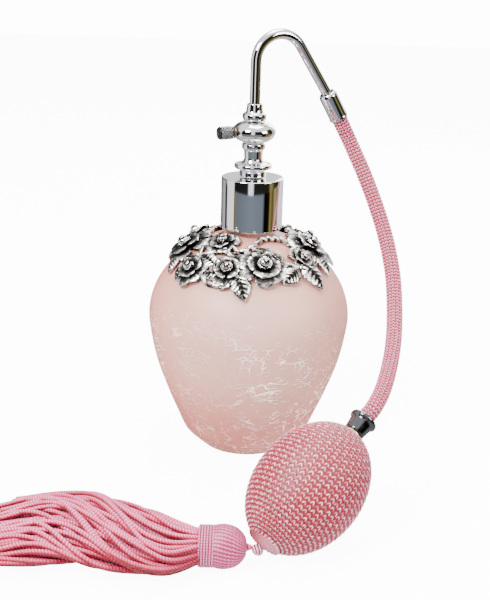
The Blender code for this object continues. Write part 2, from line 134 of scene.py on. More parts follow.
# %% Outlines
def spline(points, steps):
    """Catmull-Rom: each span is a cubic through its two ends, with slopes from the neighbours."""
    p = np.asarray(points, float)
    p = np.vstack([2 * p[0] - p[1], p, 2 * p[-1] - p[-2]])
    a, b, c, d = (p[k:len(p) - 3 + k, None, :] for k in range(4))
    t = np.linspace(0, 1, steps, endpoint=False)[None, :, None]
    line = 0.5 * (2 * b + (c - a) * t + (2 * a - 5 * b + 4 * c - d) * t**2 + (3 * b - a - 3 * c + d) * t**3)
    return np.vstack([line.reshape(-1, p.shape[1]), p[-2]])


CORNER_STEPS = 5


def rounded(corners, radius):
    """Each corner becomes a quadratic curve that starts and ends `radius` away along its two sides."""
    p = np.asarray(corners, float)
    before = p[:-2] - p[1:-1]
    after = p[2:] - p[1:-1]
    reach_b = np.minimum(radius / np.linalg.norm(before, axis=1), 0.45)[:, None]
    reach_a = np.minimum(radius / np.linalg.norm(after, axis=1), 0.45)[:, None]
    start = (p[1:-1] + before * reach_b)[:, None]
    end = (p[1:-1] + after * reach_a)[:, None]
    t = np.linspace(0, 1, CORNER_STEPS)[None, :, None]
    bend = (1 - t) ** 2 * start + 2 * t * (1 - t) * p[1:-1, None] + t**2 * end
    return np.vstack([p[:1], bend.reshape(-1, 2), p[-1:]])


def spin(outline, sides=96):
    """Outline points (radius, height) in mm, outer side from top to bottom, turned about Z."""
    angle = np.arange(sides) / sides * 2 * np.pi
    radius = outline[:, :1]
    height = np.repeat(outline[:, 1:2], sides, axis=1)
    return np.stack([radius * np.cos(angle), radius * np.sin(angle), height], -1) * MM


def stand(points, origin, direction):
    """Carry points from the Z axis onto an axis through origin, both in metres."""
    turn = np.array(Vector(direction).to_track_quat("Z", "Y").to_matrix())
    return points @ turn.T + np.asarray(origin, float)


# %% [markdown]
# A hose, a vine or a tassel cord is a ring carried along a line. At each point of the line the ring
# needs two directions square to the line. They come from one fixed reference direction that the line
# never runs along, so the ring doesn't twist by itself.


# %% Tubes along a line
def even(line, count):
    """The same line with evenly spaced points."""
    reach = np.concatenate([[0.0], np.cumsum(np.linalg.norm(np.diff(line, axis=0), axis=1))])
    goal = np.linspace(0, reach[-1], count)
    return np.stack([np.interp(goal, reach, line[:, axis]) for axis in range(3)], -1)


def line_length(line):
    return float(np.linalg.norm(np.diff(line, axis=0), axis=1).sum())


def frames(line, reference):
    """Unit directions along, beside and above a line, or a stack of lines, at each of its points."""
    along = np.gradient(line, axis=-2)
    along /= np.linalg.norm(along, axis=-1, keepdims=True)
    beside = np.cross(along, np.asarray(reference, float))
    beside /= np.linalg.norm(beside, axis=-1, keepdims=True)
    return along, beside, np.cross(beside, along)


def tube(line, radius, sides, reference):
    """point = line + radius * (cos a * beside + sin a * above); radius may vary along and around."""
    _, beside, above = frames(line, reference)
    a = np.arange(sides) / sides * 2 * np.pi
    ring = np.cos(a)[:, None] * beside[..., None, :] + np.sin(a)[:, None] * above[..., None, :]
    size = np.broadcast_to(np.asarray(radius, float), ring.shape[:-1])
    return line[..., None, :] + size[..., None] * ring


DOME = 0.35  # how far an end stands out, as a share of the radius


def capped(line, radius, sides, reference):
    """A tube whose first and last rings close to a point, slightly domed."""
    along, _, _ = frames(line, reference)
    size = np.broadcast_to(np.asarray(radius, float), (*line.shape[:-1], sides))
    body = tube(line, size, sides, reference)
    middle = float(np.mean(size))
    first = body[..., :1, :, :] * 0 + line[..., :1, None, :] - along[..., :1, None, :] * middle * DOME
    last = body[..., -1:, :, :] * 0 + line[..., -1:, None, :] + along[..., -1:, None, :] * middle * DOME
    return np.concatenate([first, body, last], axis=-3)


# %% [markdown]
# ## The camera and the light
#
# The camera stands a third of a metre in front, looking slightly down, and leans a little. The room is
# a white sweep. Chrome only looks like chrome when it has something dark to mirror, so the world, as
# seen in reflections, has upright bands of white, grey, black and warm gold.

# %% Camera
CAMERA_DISTANCE = 353.3 * MM
CAMERA_HEIGHT = 162.7 * MM
CAMERA_PITCH = math.radians(17.8)
CAMERA_ROLL = math.radians(1.74)
FOCAL_SHARE = 1.8645  # focal length as a share of the picture's height

camera = bpy.data.objects.new("camera", bpy.data.cameras.new("camera"))
bpy.context.scene.collection.objects.link(camera)
camera.data.lens = camera.data.sensor_width * FOCAL_SHARE
camera.data.shift_x = -0.0065
camera.data.clip_start = 0.01
camera.matrix_world = (Matrix.Translation((0.0, -CAMERA_DISTANCE, CAMERA_HEIGHT))
                       @ Matrix.Rotation(math.pi / 2 - CAMERA_PITCH, 4, "X")
                       @ Matrix.Rotation(CAMERA_ROLL, 4, "Z"))
bpy.context.scene.camera = camera


# %% Lights
def softbox(name, place, aim, size, power):
    """A flat square lamp that points from place to aim."""
    data = bpy.data.lights.new(name, "AREA")
    data.size = size
    data.energy = power
    lamp = bpy.data.objects.new(name, data)
    bpy.context.scene.collection.objects.link(lamp)
    way = Vector(aim) - Vector(place)
    lamp.matrix_world = Matrix.Translation(place) @ way.to_track_quat("-Z", "Y").to_matrix().to_4x4()
    return lamp


CENTRE = (0.0, -0.02, 0.06)
softbox("key", (-0.35, -0.45, 0.55), CENTRE, 0.26, 11.0)
softbox("fill", (0.55, -0.30, 0.35), CENTRE, 0.30, 3.0)
softbox("top", (0.05, 0.10, 0.75), CENTRE, 0.40, 6.5)
softbox("back", (0.20, 0.55, 0.30), CENTRE, 0.35, 2.4)


# %% World
def nodes_of(owner):
    owner.use_nodes = True
    owner.node_tree.nodes.clear()
    return owner.node_tree


def add(tree, kind, inputs=None, **settings):
    """Add a node; inputs maps a socket's name or number to a value or to another node's output."""
    made = tree.nodes.new(kind)
    for key, value in settings.items():
        setattr(made, key, value)
    for key, value in (inputs or {}).items():
        if isinstance(value, bpy.types.NodeSocket):
            tree.links.new(value, made.inputs[key])
        else:
            made.inputs[key].default_value = value
    return made


def ramp(tree, value, stops):
    """A colour ramp; stops are (position, colour)."""
    made = add(tree, "ShaderNodeValToRGB", {"Fac": value})
    elements = made.color_ramp.elements
    while len(elements) < len(stops):
        elements.new(1.0)
    for element, (position, colour) in zip(elements, stops):
        element.position = position
        element.color = (*colour, 1.0) if len(colour) == 3 else colour
    return made.outputs["Color"]


def span(tree, value, low, high, to_low=0.0, to_high=1.0, smooth=False):
    """Stretch a value so that low..high becomes to_low..to_high."""
    made = add(tree, "ShaderNodeMapRange", {"Value": value, "From Min": low, "From Max": high,
                                            "To Min": to_low, "To Max": to_high})
    made.interpolation_type = "SMOOTHSTEP" if smooth else "LINEAR"
    return made.outputs["Result"]


def maths(tree, operation, a, b=0.0, c=0.0):
    return add(tree, "ShaderNodeMath", {0: a, 1: b, 2: c}, operation=operation).outputs[0]


def mixed(tree, share, a, b):
    """Mix two colours, a at 0 and b at 1."""
    return add(tree, "ShaderNodeMix", {0: share, 6: a, 7: b}, data_type="RGBA").outputs[2]


def either(tree, share, a, b):
    """Mix two shaders, a at 0 and b at 1."""
    return add(tree, "ShaderNodeMixShader", {0: share, 1: a.outputs[0], 2: b.outputs[0]})


ROOM_BANDS = [  # share of a turn from -X, anticlockwise from above, and what a mirror sees there
    (0.000, (1.50, 1.50, 1.50)), (0.056, (1.50, 1.50, 1.48)), (0.062, (0.10, 0.08, 0.04)),
    (0.080, (0.30, 0.25, 0.12)), (0.090, (0.17, 0.20, 0.24)), (0.240, (0.24, 0.28, 0.33)),
    (0.360, (0.20, 0.24, 0.29)), (0.383, (0.00, 0.00, 0.00)), (0.432, (0.01, 0.01, 0.00)),
    (0.445, (0.34, 0.26, 0.09)), (0.480, (0.12, 0.08, 0.02)), (0.505, (0.50, 0.42, 0.20)),
    (0.545, (0.20, 0.15, 0.06)), (0.570, (1.50, 1.48, 1.45)), (0.760, (1.10, 1.10, 1.12)),
    (0.800, (0.03, 0.03, 0.03)), (0.860, (0.30, 0.30, 0.32)), (0.925, (0.70, 0.70, 0.72)),
    (0.935, (0.02, 0.02, 0.02)), (0.962, (0.05, 0.05, 0.05)), (0.970, (1.50, 1.50, 1.50)),
]
FAR_BANDS = [  # further out the room is dark, with one bright window
    (0.000, (1.60, 1.60, 1.60)), (0.052, (1.60, 1.60, 1.60)), (0.066, (0.01, 0.01, 0.01)),
    (0.205, (0.02, 0.02, 0.02)), (0.222, (1.80, 1.80, 1.90)), (0.252, (1.80, 1.80, 1.90)),
    (0.270, (0.02, 0.02, 0.02)), (0.420, (0.02, 0.02, 0.01)), (0.450, (0.34, 0.28, 0.12)),
    (0.500, (0.03, 0.03, 0.01)), (0.565, (0.05, 0.04, 0.02)), (0.590, (1.60, 1.60, 1.60)),
    (0.760, (1.20, 1.20, 1.20)), (0.800, (0.03, 0.03, 0.03)), (0.900, (0.30, 0.30, 0.30)),
    (0.935, (0.02, 0.02, 0.02)), (0.975, (1.60, 1.60, 1.60)),
]
CAMERA_WHITE = 14.0  # strong enough to be plain white to the eye
WHITE_FROM = 0.50  # how steeply a mirror looks up where the bands begin to fade
WHITE_ABOVE = 0.72


def room_bands(tree, direction, stops):
    """The bands' colour for a direction, or for a place seen from the bottle, and the direction's parts."""
    parts = add(tree, "ShaderNodeSeparateXYZ", {0: direction})
    turn = maths(tree, "ARCTAN2", parts.outputs["Y"], parts.outputs["X"])
    return ramp(tree, span(tree, turn, -math.pi, math.pi), stops), parts


def room():
    """White to the eye; to a mirror, upright bands that fade to white overhead."""
    world = bpy.data.worlds.new("room")
    bpy.context.scene.world = world
    tree = nodes_of(world)
    bands, parts = room_bands(tree, add(tree, "ShaderNodeTexCoord").outputs["Generated"], FAR_BANDS)
    mirrored = mixed(tree, span(tree, parts.outputs["Z"], WHITE_FROM, WHITE_ABOVE), bands, (1.6, 1.6, 1.6, 1))
    rays = add(tree, "ShaderNodeLightPath")
    lit = mixed(tree, rays.outputs["Is Glossy Ray"], (0.75, 0.75, 0.75, 1), mirrored)
    seen = mixed(tree, rays.outputs["Is Camera Ray"], lit, (CAMERA_WHITE,) * 3 + (1,))
    back = add(tree, "ShaderNodeBackground", {"Color": seen, "Strength": 1.0})
    add(tree, "ShaderNodeOutputWorld", {"Surface": back.outputs[0]})


room()
print("camera lens:", round(camera.data.lens, 1), "mm")


# %% The floor
FLOOR_REACH = 1.6
MIRROR_NEAR = 0.10
MIRROR_FAR = 0.17
BANDS_NEAR = 0.66
BANDS_FAR = 0.70
FLOOR_DEPTH = 0.0002
FLOOR_GLOW = 11.0


def floor():
    """A wide pale sheet: white to the eye, with soft shadows, and carrying the room's bands to a mirror."""
    corner = np.array([-FLOOR_REACH, FLOOR_REACH])
    x, y = np.meshgrid(corner, corner, indexing="ij")
    mesh = surface("floor", np.stack([x, y, np.full_like(x, -FLOOR_DEPTH)], -1))
    look = bpy.data.materials.new("pale_floor")
    tree = nodes_of(look)
    place = add(tree, "ShaderNodeTexCoord").outputs["Object"]
    close, _ = room_bands(tree, place, ROOM_BANDS)
    distant, _ = room_bands(tree, place, FAR_BANDS)
    away = add(tree, "ShaderNodeVectorMath", {0: place}, operation="LENGTH").outputs["Value"]
    bands = mixed(tree, span(tree, away, BANDS_NEAR, BANDS_FAR), close, distant)
    mirrored = mixed(tree, span(tree, away, MIRROR_NEAR, MIRROR_FAR), (0.8, 0.8, 0.8, 1), bands)
    rays = add(tree, "ShaderNodeLightPath")
    matt = add(tree, "ShaderNodeBsdfDiffuse", {"Color": (0.93, 0.93, 0.93, 1)})
    glow = add(tree, "ShaderNodeEmission", {"Color": (1, 1, 1, 1), "Strength": FLOOR_GLOW})
    eye = add(tree, "ShaderNodeAddShader", {0: matt.outputs[0], 1: glow.outputs[0]})
    card = add(tree, "ShaderNodeEmission", {"Color": mirrored, "Strength": 1.0})
    first = either(tree, rays.outputs["Is Camera Ray"], matt, eye)
    whole = either(tree, rays.outputs["Is Glossy Ray"], first, card)
    add(tree, "ShaderNodeOutputMaterial", {"Surface": whole.outputs[0]})
    mesh.materials.append(look)
    made = bpy.data.objects.new("floor", mesh)
    bpy.context.scene.collection.objects.link(made)


floor()

# %% [markdown]
# ## Finishes
#
# Each finish starts from one Principled shader. What varies over a surface, such as a scratch, a crack
# or the dark dirt in a casting, comes from textures on Object coordinates, from the piece's own UV map,
# or from a field that was stored on the mesh when its shape was worked out.


# %% A finish to build on
def finish(name, colour, roughness, **sockets):
    """A material, its tree and its Principled shader, with plain values on the shader's own sockets."""
    look = bpy.data.materials.new(name)
    tree = nodes_of(look)
    shader = add(tree, "ShaderNodeBsdfPrincipled", {"Base Color": (*colour, 1.0), "Roughness": roughness})
    for socket, value in sockets.items():
        shader.inputs[socket.replace("_", " ")].default_value = value
    add(tree, "ShaderNodeOutputMaterial", {"Surface": shader.outputs[0]})
    return look, tree, shader


def object_place(tree):
    return add(tree, "ShaderNodeTexCoord").outputs["Object"]


def noise(tree, scale, detail=3.0, vector=None):
    made = add(tree, "ShaderNodeTexNoise", {"Scale": scale, "Detail": detail})
    tree.links.new(vector or object_place(tree), made.inputs["Vector"])
    return made


def bump(tree, shader, height, distance, strength=1.0):
    made = add(tree, "ShaderNodeBump", {"Height": height, "Distance": distance, "Strength": strength})
    tree.links.new(made.outputs[0], shader.inputs["Normal"])
    return made


# %% [markdown]
# ### Chrome
#
# Polished plate is a mirror, so its roughness is tiny. A slow noise bends the reflections a little, as
# buffed brass under the plate does, and a second one dulls it in faint patches.


# %% Chrome, dark chrome and brass
def metal(name, colour, roughness):
    look, tree, shader = finish(name, colour, roughness, Metallic=1.0)
    patches = noise(tree, 90.0, 4.0)
    tree.links.new(span(tree, patches.outputs["Fac"], 0.35, 0.75, roughness * 0.7, roughness * 1.9),
                   shader.inputs["Roughness"])
    buffing = noise(tree, 260.0, 2.0)
    bump(tree, shader, buffing.outputs["Fac"], 0.00001, 0.25)
    return look


CHROME = metal("chrome_plate", (0.86, 0.86, 0.88), 0.045)
DARK_CHROME = metal("dark_chrome", (0.13, 0.13, 0.14), 0.07)
BRASS = metal("turned_brass", (0.80, 0.60, 0.30), 0.22)


# %% [markdown]
# ### Antique silver
#
# The flower collar is a casting that was blackened all over and then polished, so only the high parts
# are bright. The mesh carries a field called `height`, 0 in the recesses and 1 on the edges, and a ramp
# turns it into black, grey and silver.


# %% Antique silver
def antique_silver():
    look, tree, shader = finish("antique_silver", (0.7, 0.7, 0.68), 0.22, Metallic=1.0)
    height = add(tree, "ShaderNodeAttribute", attribute_name="height").outputs["Fac"]
    grain = noise(tree, 900.0, 5.0)
    worn = maths(tree, "MULTIPLY_ADD", grain.outputs["Fac"], 0.55, maths(tree, "SUBTRACT", height, 0.27))
    colour = ramp(tree, worn, [(0.34, (0.008, 0.007, 0.006)), (0.50, (0.10, 0.09, 0.085)),
                               (0.62, (0.72, 0.70, 0.67)), (1.0, (0.95, 0.93, 0.90))])
    tree.links.new(colour, shader.inputs["Base Color"])
    tree.links.new(span(tree, worn, 0.3, 0.7, 0.55, 0.14), shader.inputs["Roughness"])
    bump(tree, shader, grain.outputs["Fac"], 0.00025, 0.6)
    return look


SILVER = antique_silver()


# %% Knurled dark chrome
def knurled_chrome():
    """Painted shade in the grooves of the knurling, against bright crests, by the same kind of `height`
    field.
    """
    look, tree, shader = finish("knurled_dark_chrome", (0.13, 0.13, 0.14), 0.14, Metallic=1.0)
    height = add(tree, "ShaderNodeAttribute", attribute_name="height").outputs["Fac"]
    colour = ramp(tree, height, [(0.05, (0.010, 0.010, 0.011)), (0.30, (0.10, 0.10, 0.11)),
                                 (0.60, (0.55, 0.55, 0.57))])
    tree.links.new(colour, shader.inputs["Base Color"])
    scuffs = noise(tree, 1200.0, 3.0)
    tree.links.new(span(tree, scuffs.outputs["Fac"], 0.3, 0.7, 0.10, 0.20), shader.inputs["Roughness"])
    return look


KNURLED_CHROME = knurled_chrome()

# %% [markdown]
# ### Crackled, frosted glass
#
# Hot glass dipped in water cracks on its surface and is fired again, so fine cracks run through the
# skin, catching the light as short white arcs. Cell edges from a Voronoi texture, bent by noise, are the
# cracks; a broad noise breaks them into arcs, and they fade out towards the smooth shoulder. The arcs'
# white is partly the cracks' own scatter and partly a painted glint, and they are given a painted glow.


# %% Crackled glass
def crackled_glass():
    look, tree, shader = finish("crackled_glass", (0.93, 0.78, 0.75), 0.42, IOR=1.45, Subsurface_Weight=0.25,
                                Subsurface_Scale=0.004, Specular_IOR_Level=0.5)
    shader.inputs["Subsurface Radius"].default_value = (1.0, 0.6, 0.5)
    place = object_place(tree)
    wander = noise(tree, 60.0, 3.0, place)
    shift = add(tree, "ShaderNodeVectorMath", {0: wander.outputs["Color"], 1: (0.5, 0.5, 0.5)},
                operation="SUBTRACT")
    bent = add(tree, "ShaderNodeVectorMath", {0: shift.outputs[0], 1: (0.009, 0.009, 0.009), 2: place},
               operation="MULTIPLY_ADD").outputs[0]
    bent = add(tree, "ShaderNodeVectorMath", {0: bent, 1: (1.0, 1.0, 2.3)}, operation="MULTIPLY").outputs[0]
    height = add(tree, "ShaderNodeSeparateXYZ", {0: place}).outputs["Z"]
    lines = []
    for scale, width, broken in ((90.0, 0.010, 150.0), (170.0, 0.018, 210.0), (300.0, 0.030, 260.0)):
        cells = add(tree, "ShaderNodeTexVoronoi", {"Vector": bent, "Scale": scale},
                    feature="DISTANCE_TO_EDGE")
        line = span(tree, cells.outputs["Distance"], 0.0, width, 1.0, 0.0)
        patches = noise(tree, broken, 2.0, place)
        seen = span(tree, patches.outputs["Fac"], 0.53, 0.60, smooth=True)
        lines.append(maths(tree, "MULTIPLY", line, seen))
    wide = maths(tree, "MAXIMUM", lines[0], lines[1])
    crack_and_glint = maths(tree, "MAXIMUM", wide, maths(tree, "MULTIPLY", lines[2], 0.5))
    zone = noise(tree, 34.0, 2.0, place)
    zoned = span(tree, zone.outputs["Fac"], 0.42, 0.56, 0.12, 1.0, smooth=True)
    crack_and_glint = maths(tree, "MULTIPLY", crack_and_glint, zoned)
    crack_and_glint = maths(tree, "MULTIPLY", crack_and_glint, span(tree, height, 0.055, 0.042, smooth=True))
    crack_and_glint = maths(tree, "MULTIPLY", crack_and_glint, span(tree, height, 0.004, 0.018, 0.35, 1.0, smooth=True))
    # Painted shade: the glass is painted deeper in colour towards its outline, where it is seen edge-on.
    facing = add(tree, "ShaderNodeLayerWeight", {"Blend": 0.35}).outputs["Facing"]
    skin = ramp(tree, facing, [(0.0, (0.74, 0.43, 0.36)), (0.45, (0.68, 0.29, 0.22)),
                               (0.9, (0.56, 0.13, 0.095))])
    # The colour is painted darker towards the foot.
    low_down = span(tree, height, 0.032, 0.008, 0.0, 0.85, smooth=True)
    base = mixed(tree, low_down, skin, (0.50, 0.085, 0.055, 1.0))
    cloud = noise(tree, 22.0, 3.0, place)
    base = mixed(tree, span(tree, cloud.outputs["Fac"], 0.35, 0.7, 0.0, 0.25), base, (0.80, 0.54, 0.47, 1.0))
    # Painted glint: the cracks are painted near-white, partly their own scatter.
    tree.links.new(mixed(tree, maths(tree, "MULTIPLY", crack_and_glint, 0.85), base, (1.0, 0.97, 0.96, 1.0)),
                   shader.inputs["Base Color"])
    tree.links.new(span(tree, crack_and_glint, 0.0, 1.0, 0.42, 0.12), shader.inputs["Roughness"])
    frost = noise(tree, 2600.0, 2.0, place)
    # Painted glow: the cracks emit light, though the glass is no lamp.
    shader.inputs["Emission Color"].default_value = (1.0, 0.95, 0.93, 1.0)
    tree.links.new(maths(tree, "MULTIPLY", crack_and_glint, 5.0), shader.inputs["Emission Strength"])
    relief = maths(tree, "MULTIPLY_ADD", crack_and_glint, 1.4, maths(tree, "MULTIPLY", frost.outputs["Fac"], 0.12))
    bump(tree, shader, relief, 0.0003, 0.8)
    return look


GLASS = crackled_glass()


# %% [markdown]
# ### Thread, cord and rubber
#
# Knitted and twisted threads share one idea: the grooves between them are painted deep red-pink as shade,
# because light gets lost there, and their crowns are painted pale, with a painted satin highlight. All of
# them carry that painted light and shade as a field called `crown`. The twisted cords add stripes worked out
# from their UV map, whose V runs in metres along the cord, so the twist is about the same size on every cord.


# %% Thread
THREAD_GLOSS = {"Sheen_Weight": 0.10, "Sheen_Roughness": 0.4, "Specular_IOR_Level": 0.6}


def knitted(name, shaded_groove, middle, crown):
    look, tree, shader = finish(name, middle, 0.38, **THREAD_GLOSS)
    field = add(tree, "ShaderNodeAttribute", attribute_name="crown").outputs["Fac"]
    fibres = noise(tree, 2400.0, 3.0)
    value = maths(tree, "MULTIPLY_ADD", fibres.outputs["Fac"], 0.30, maths(tree, "SUBTRACT", field, 0.15))
    # Painted shade in the grooves, painted light on the crowns, and a painted highlight near white at the
    # top.
    colour = ramp(tree, value, [(0.08, shaded_groove), (0.36, middle), (0.74, crown), (1.0, (1.0, 0.93, 0.95))])
    tree.links.new(colour, shader.inputs["Base Color"])
    bump(tree, shader, fibres.outputs["Fac"], 0.00008, 0.5)
    return look


def twisted(name, shaded_groove, middle, crown, pitch, strands=3.0):
    """stripe = sine of (V / pitch + strands * U) turns; both the colour and the relief follow it."""
    look, tree, shader = finish(name, middle, 0.36, **THREAD_GLOSS)
    uv = add(tree, "ShaderNodeSeparateXYZ", {0: add(tree, "ShaderNodeTexCoord").outputs["UV"]})
    around = maths(tree, "MULTIPLY", uv.outputs["X"], strands)
    turns = maths(tree, "MULTIPLY_ADD", uv.outputs["Y"], 1.0 / pitch, around)
    wave = maths(tree, "SINE", maths(tree, "MULTIPLY", turns, 2 * math.pi))
    stripe = maths(tree, "MULTIPLY_ADD", wave, 0.5, 0.5)
    cloud = noise(tree, 160.0, 3.0)
    field = add(tree, "ShaderNodeAttribute", attribute_name="crown").outputs["Fac"]
    # The stripes are painted highlight on the plies and painted shade between them, strongest where `crown`
    # is high.
    ribbed = maths(tree, "MULTIPLY", stripe, maths(tree, "MULTIPLY_ADD", field, 0.46, 0.06))
    crowned = maths(tree, "MULTIPLY_ADD", field, 0.54, ribbed)
    value = maths(tree, "MULTIPLY_ADD", cloud.outputs["Fac"], 0.24, crowned)
    colour = ramp(tree, maths(tree, "SUBTRACT", value, 0.20), [(0.0, shaded_groove), (0.36, middle), (0.92, crown)])
    tree.links.new(colour, shader.inputs["Base Color"])
    bump(tree, shader, stripe, 0.00016, 0.8)
    return look


# Each finish: painted shade in the grooves, the thread's middle colour, then painted light on the crowns.
HOSE_KNIT = knitted("hose_knit", (0.13, 0.002, 0.012), (0.52, 0.024, 0.080), (0.93, 0.28, 0.43))
NET_KNIT = knitted("net_knit", (0.22, 0.004, 0.010), (0.46, 0.032, 0.075), (1.00, 0.84, 0.94))
WOUND_KNIT = knitted("wound_thread", (0.10, 0.001, 0.02), (0.32, 0.008, 0.065), (0.80, 0.17, 0.40))
CORD = twisted("tassel_cord", (0.20, 0.001, 0.012), (0.50, 0.008, 0.060), (0.95, 0.27, 0.50), 0.95 * MM, 2.0)


def soft_rubber(name, colour):
    look, tree, shader = finish(name, colour, 0.55)
    cloud = noise(tree, 300.0, 3.0)
    tree.links.new(mixed(tree, span(tree, cloud.outputs["Fac"], 0.3, 0.7, 0.0, 0.3), (*colour, 1.0),
                         (*(0.75 * part for part in colour), 1.0)), shader.inputs["Base Color"])
    bump(tree, shader, cloud.outputs["Fac"], 0.00005, 0.5)
    return look


RUBBER = soft_rubber("salmon_rubber", (0.80, 0.42, 0.36))
BLACK_RUBBER = soft_rubber("black_rubber", (0.03, 0.03, 0.03))
WHITE_PLASTIC = soft_rubber("white_plastic", (0.82, 0.82, 0.80))
BEAD_WOOD = soft_rubber("bead_wood", (0.62, 0.44, 0.28))
print("finishes:", len(bpy.data.materials))

# %% [markdown]
# ## The bottle
#
# The outside is the smooth curve through the widths of the bottle at rising heights, from its flat foot
# to the shoulder. The inside follows the same curve a wall's thickness further in, above a thick floor.
# The glass's colour is painted darker towards the foot.

# %% Bottle
BOTTLE_WIDTHS = [
    (14.8, 0.0), (16.1, 1.2), (18.1, 3.0), (20.9, 6.0), (23.6, 12.0), (26.9, 20.0), (30.4, 30.0),
    (32.5, 40.0), (32.9, 47.0), (31.1, 54.0), (27.5, 60.0), (22.6, 65.0), (16.5, 69.2), (9.6, 72.0),
]
NECK_RADIUS = 7.0
NECK_BORE = 5.2
LIP_HEIGHT = 86.0
WALL = 3.2
FLOOR_HEIGHT = 7.0
SIDE = spline(BOTTLE_WIDTHS, 10)
BOTTLE_SIDES = 160


def shoulder_radius(height):
    """The outside radius at a height, in mm; arrays are welcome."""
    return np.interp(height, SIDE[:, 1], SIDE[:, 0])


def bottle():
    neck = rounded([(NECK_BORE, LIP_HEIGHT), (NECK_RADIUS, LIP_HEIGHT), (NECK_RADIUS, 72.8), SIDE[-1]], 0.5)
    heights = np.linspace(FLOOR_HEIGHT + 2.5, 66.5, 50)
    inside = np.stack([shoulder_radius(heights) - WALL, heights], -1)
    bowl = spline([(0.0, FLOOR_HEIGHT), (8.0, FLOOR_HEIGHT + 0.15), (14.5, FLOOR_HEIGHT + 0.9),
                   tuple(inside[0])], 8)
    throat = spline([tuple(inside[-1]), (9.0, 69.3), (NECK_BORE + 0.4, 71.2), (NECK_BORE, 73.5)], 6)
    foot = rounded([tuple(SIDE[1]), (14.6, 0.0), (0.0, 0.0)], 0.6)
    outline = np.vstack([neck, SIDE[::-1][1:-8], foot, bowl[:-1], inside, throat[1:],
                         [(NECK_BORE, LIP_HEIGHT)]])
    mesh = seal(surface("bottle", spin(outline, BOTTLE_SIDES), wrap_columns=True))
    thread = even(thread_line(NECK_RADIUS + 0.05, THREAD_START), THREAD_POINTS) * MM
    number = np.arange(THREAD_POINTS)
    taper = np.clip(np.minimum(number, number[::-1]) / 14.0, 0.05, 1.0)
    shape = capped(thread, 0.5 * MM * taper[:, None], 8, (0, 0, 1))
    ridge = seal(surface("ridge", shape, wrap_columns=True))
    piece("frosted_bottle", mesh, GLASS, "bottle", ["glass_bottle"])
    piece("neck_screw_thread", ridge, GLASS, "bottle")


THREAD_PITCH = 3.0
THREAD_TURNS = 1.5
THREAD_START = 77.5
THREAD_POINTS = 160


def thread_line(radius, start):
    """A helix: the angle and the height both grow evenly, in mm."""
    turn = np.linspace(0, 2 * np.pi * THREAD_TURNS, 200)
    height = start + turn / (2 * np.pi) * THREAD_PITCH
    return np.stack([radius * np.cos(turn), radius * np.sin(turn), height], -1)


bottle()

# %% [markdown]
# ## The flower collar
#
# A cast ring of roses, leaves and winding vines lies on the shoulder. Every part of it is first drawn
# flat, in a small (u, v, w) frame: across, up the shoulder, and out from the glass. It is then draped:
# `u` turns into an angle round the bottle, `v` into a distance along its curve, and `w` into height
# above it. That way one petal formula works anywhere on the curved shoulder.

# %% Drape
SHOULDER = np.vstack([SIDE, [(8.4, 72.6), (7.6, 73.4)]])
SHOULDER_REACH = np.concatenate([[0.0], np.cumsum(np.linalg.norm(np.diff(SHOULDER, axis=0), axis=1))])


def drape(flat, angle, height):
    """Flat points (..., 3) in mm, centred at an angle in radians and a height in mm, laid on the glass."""
    reach = np.interp(height, SHOULDER[:, 1], SHOULDER_REACH) + flat[..., 1]
    radius, rise = (np.interp(reach, SHOULDER_REACH, SHOULDER[:, axis]) for axis in (0, 1))
    step_r, step_z = (np.interp(reach + 0.4, SHOULDER_REACH, SHOULDER[:, axis])
                      - np.interp(reach - 0.4, SHOULDER_REACH, SHOULDER[:, axis]) for axis in (0, 1))
    size = np.hypot(step_r, step_z) + 1e-9
    out = radius + flat[..., 2] * step_z / size
    up = rise - flat[..., 2] * step_r / size
    turn = angle + flat[..., 0] / np.maximum(radius, 9.0)
    return np.stack([out * np.cos(turn), out * np.sin(turn), up], -1) * MM


def rolled(flat, turn):
    """Turn flat points about w."""
    c, s = np.cos(turn), np.sin(turn)
    u = flat[..., 0] * c - flat[..., 1] * s
    v = flat[..., 0] * s + flat[..., 1] * c
    return np.stack([u, v, flat[..., 2]], -1)


# %% [markdown]
# A petal or a leaf is a flattened tube: going round it by an angle `a`, cos(a) runs across and sin(a)
# goes over the top and back underneath, and its width closes to nothing at both ends. A petal also
# curls, so its slope changes steadily along its length, and the slope is summed into a curve.

# %% Petal and leaf
PETAL_ROWS = 22
PETAL_SIDES = 30


def petal(length, width, rise, curl, cup, ripple, phase):
    """Points and height field of a petal that leaves its base at the slope `rise` and ends at `curl`."""
    s = np.linspace(0.0, 1.0, PETAL_ROWS)[:, None]
    a = (np.arange(PETAL_SIDES) / PETAL_SIDES * 2 * np.pi)[None, :]
    across = np.cos(a)
    slope = rise + (curl - rise) * s**1.5
    run = length / (PETAL_ROWS - 1)
    v = np.cumsum(np.cos(slope), axis=0) * run - 0.14 * length * across**2 * s**3
    w = np.cumsum(np.sin(slope), axis=0) * run
    half = 0.5 * width * s**0.55 * np.sqrt(np.clip(1 - s**7, 0, 1))
    edge = np.abs(across) ** 2 * s
    w = w + cup * edge + ripple * np.sin(3.1 * across + phase) * s**2 + 0.34 * np.sin(a) * np.sqrt(1 - s**8)
    crease = 0.5 + 0.5 * np.cos(across * 13 + phase)
    height = 0.10 + 0.62 * s**1.8 + 0.30 * np.abs(across) ** 3 * s
    height = height - 0.22 * crease * (1 - s) + 0.1 * np.sin(a)
    points = np.stack([half * across, v + 0 * a, w], -1)
    return points, np.clip(height * (0.5 + 0.5 * (np.sin(a) > -0.3)), 0, 1)


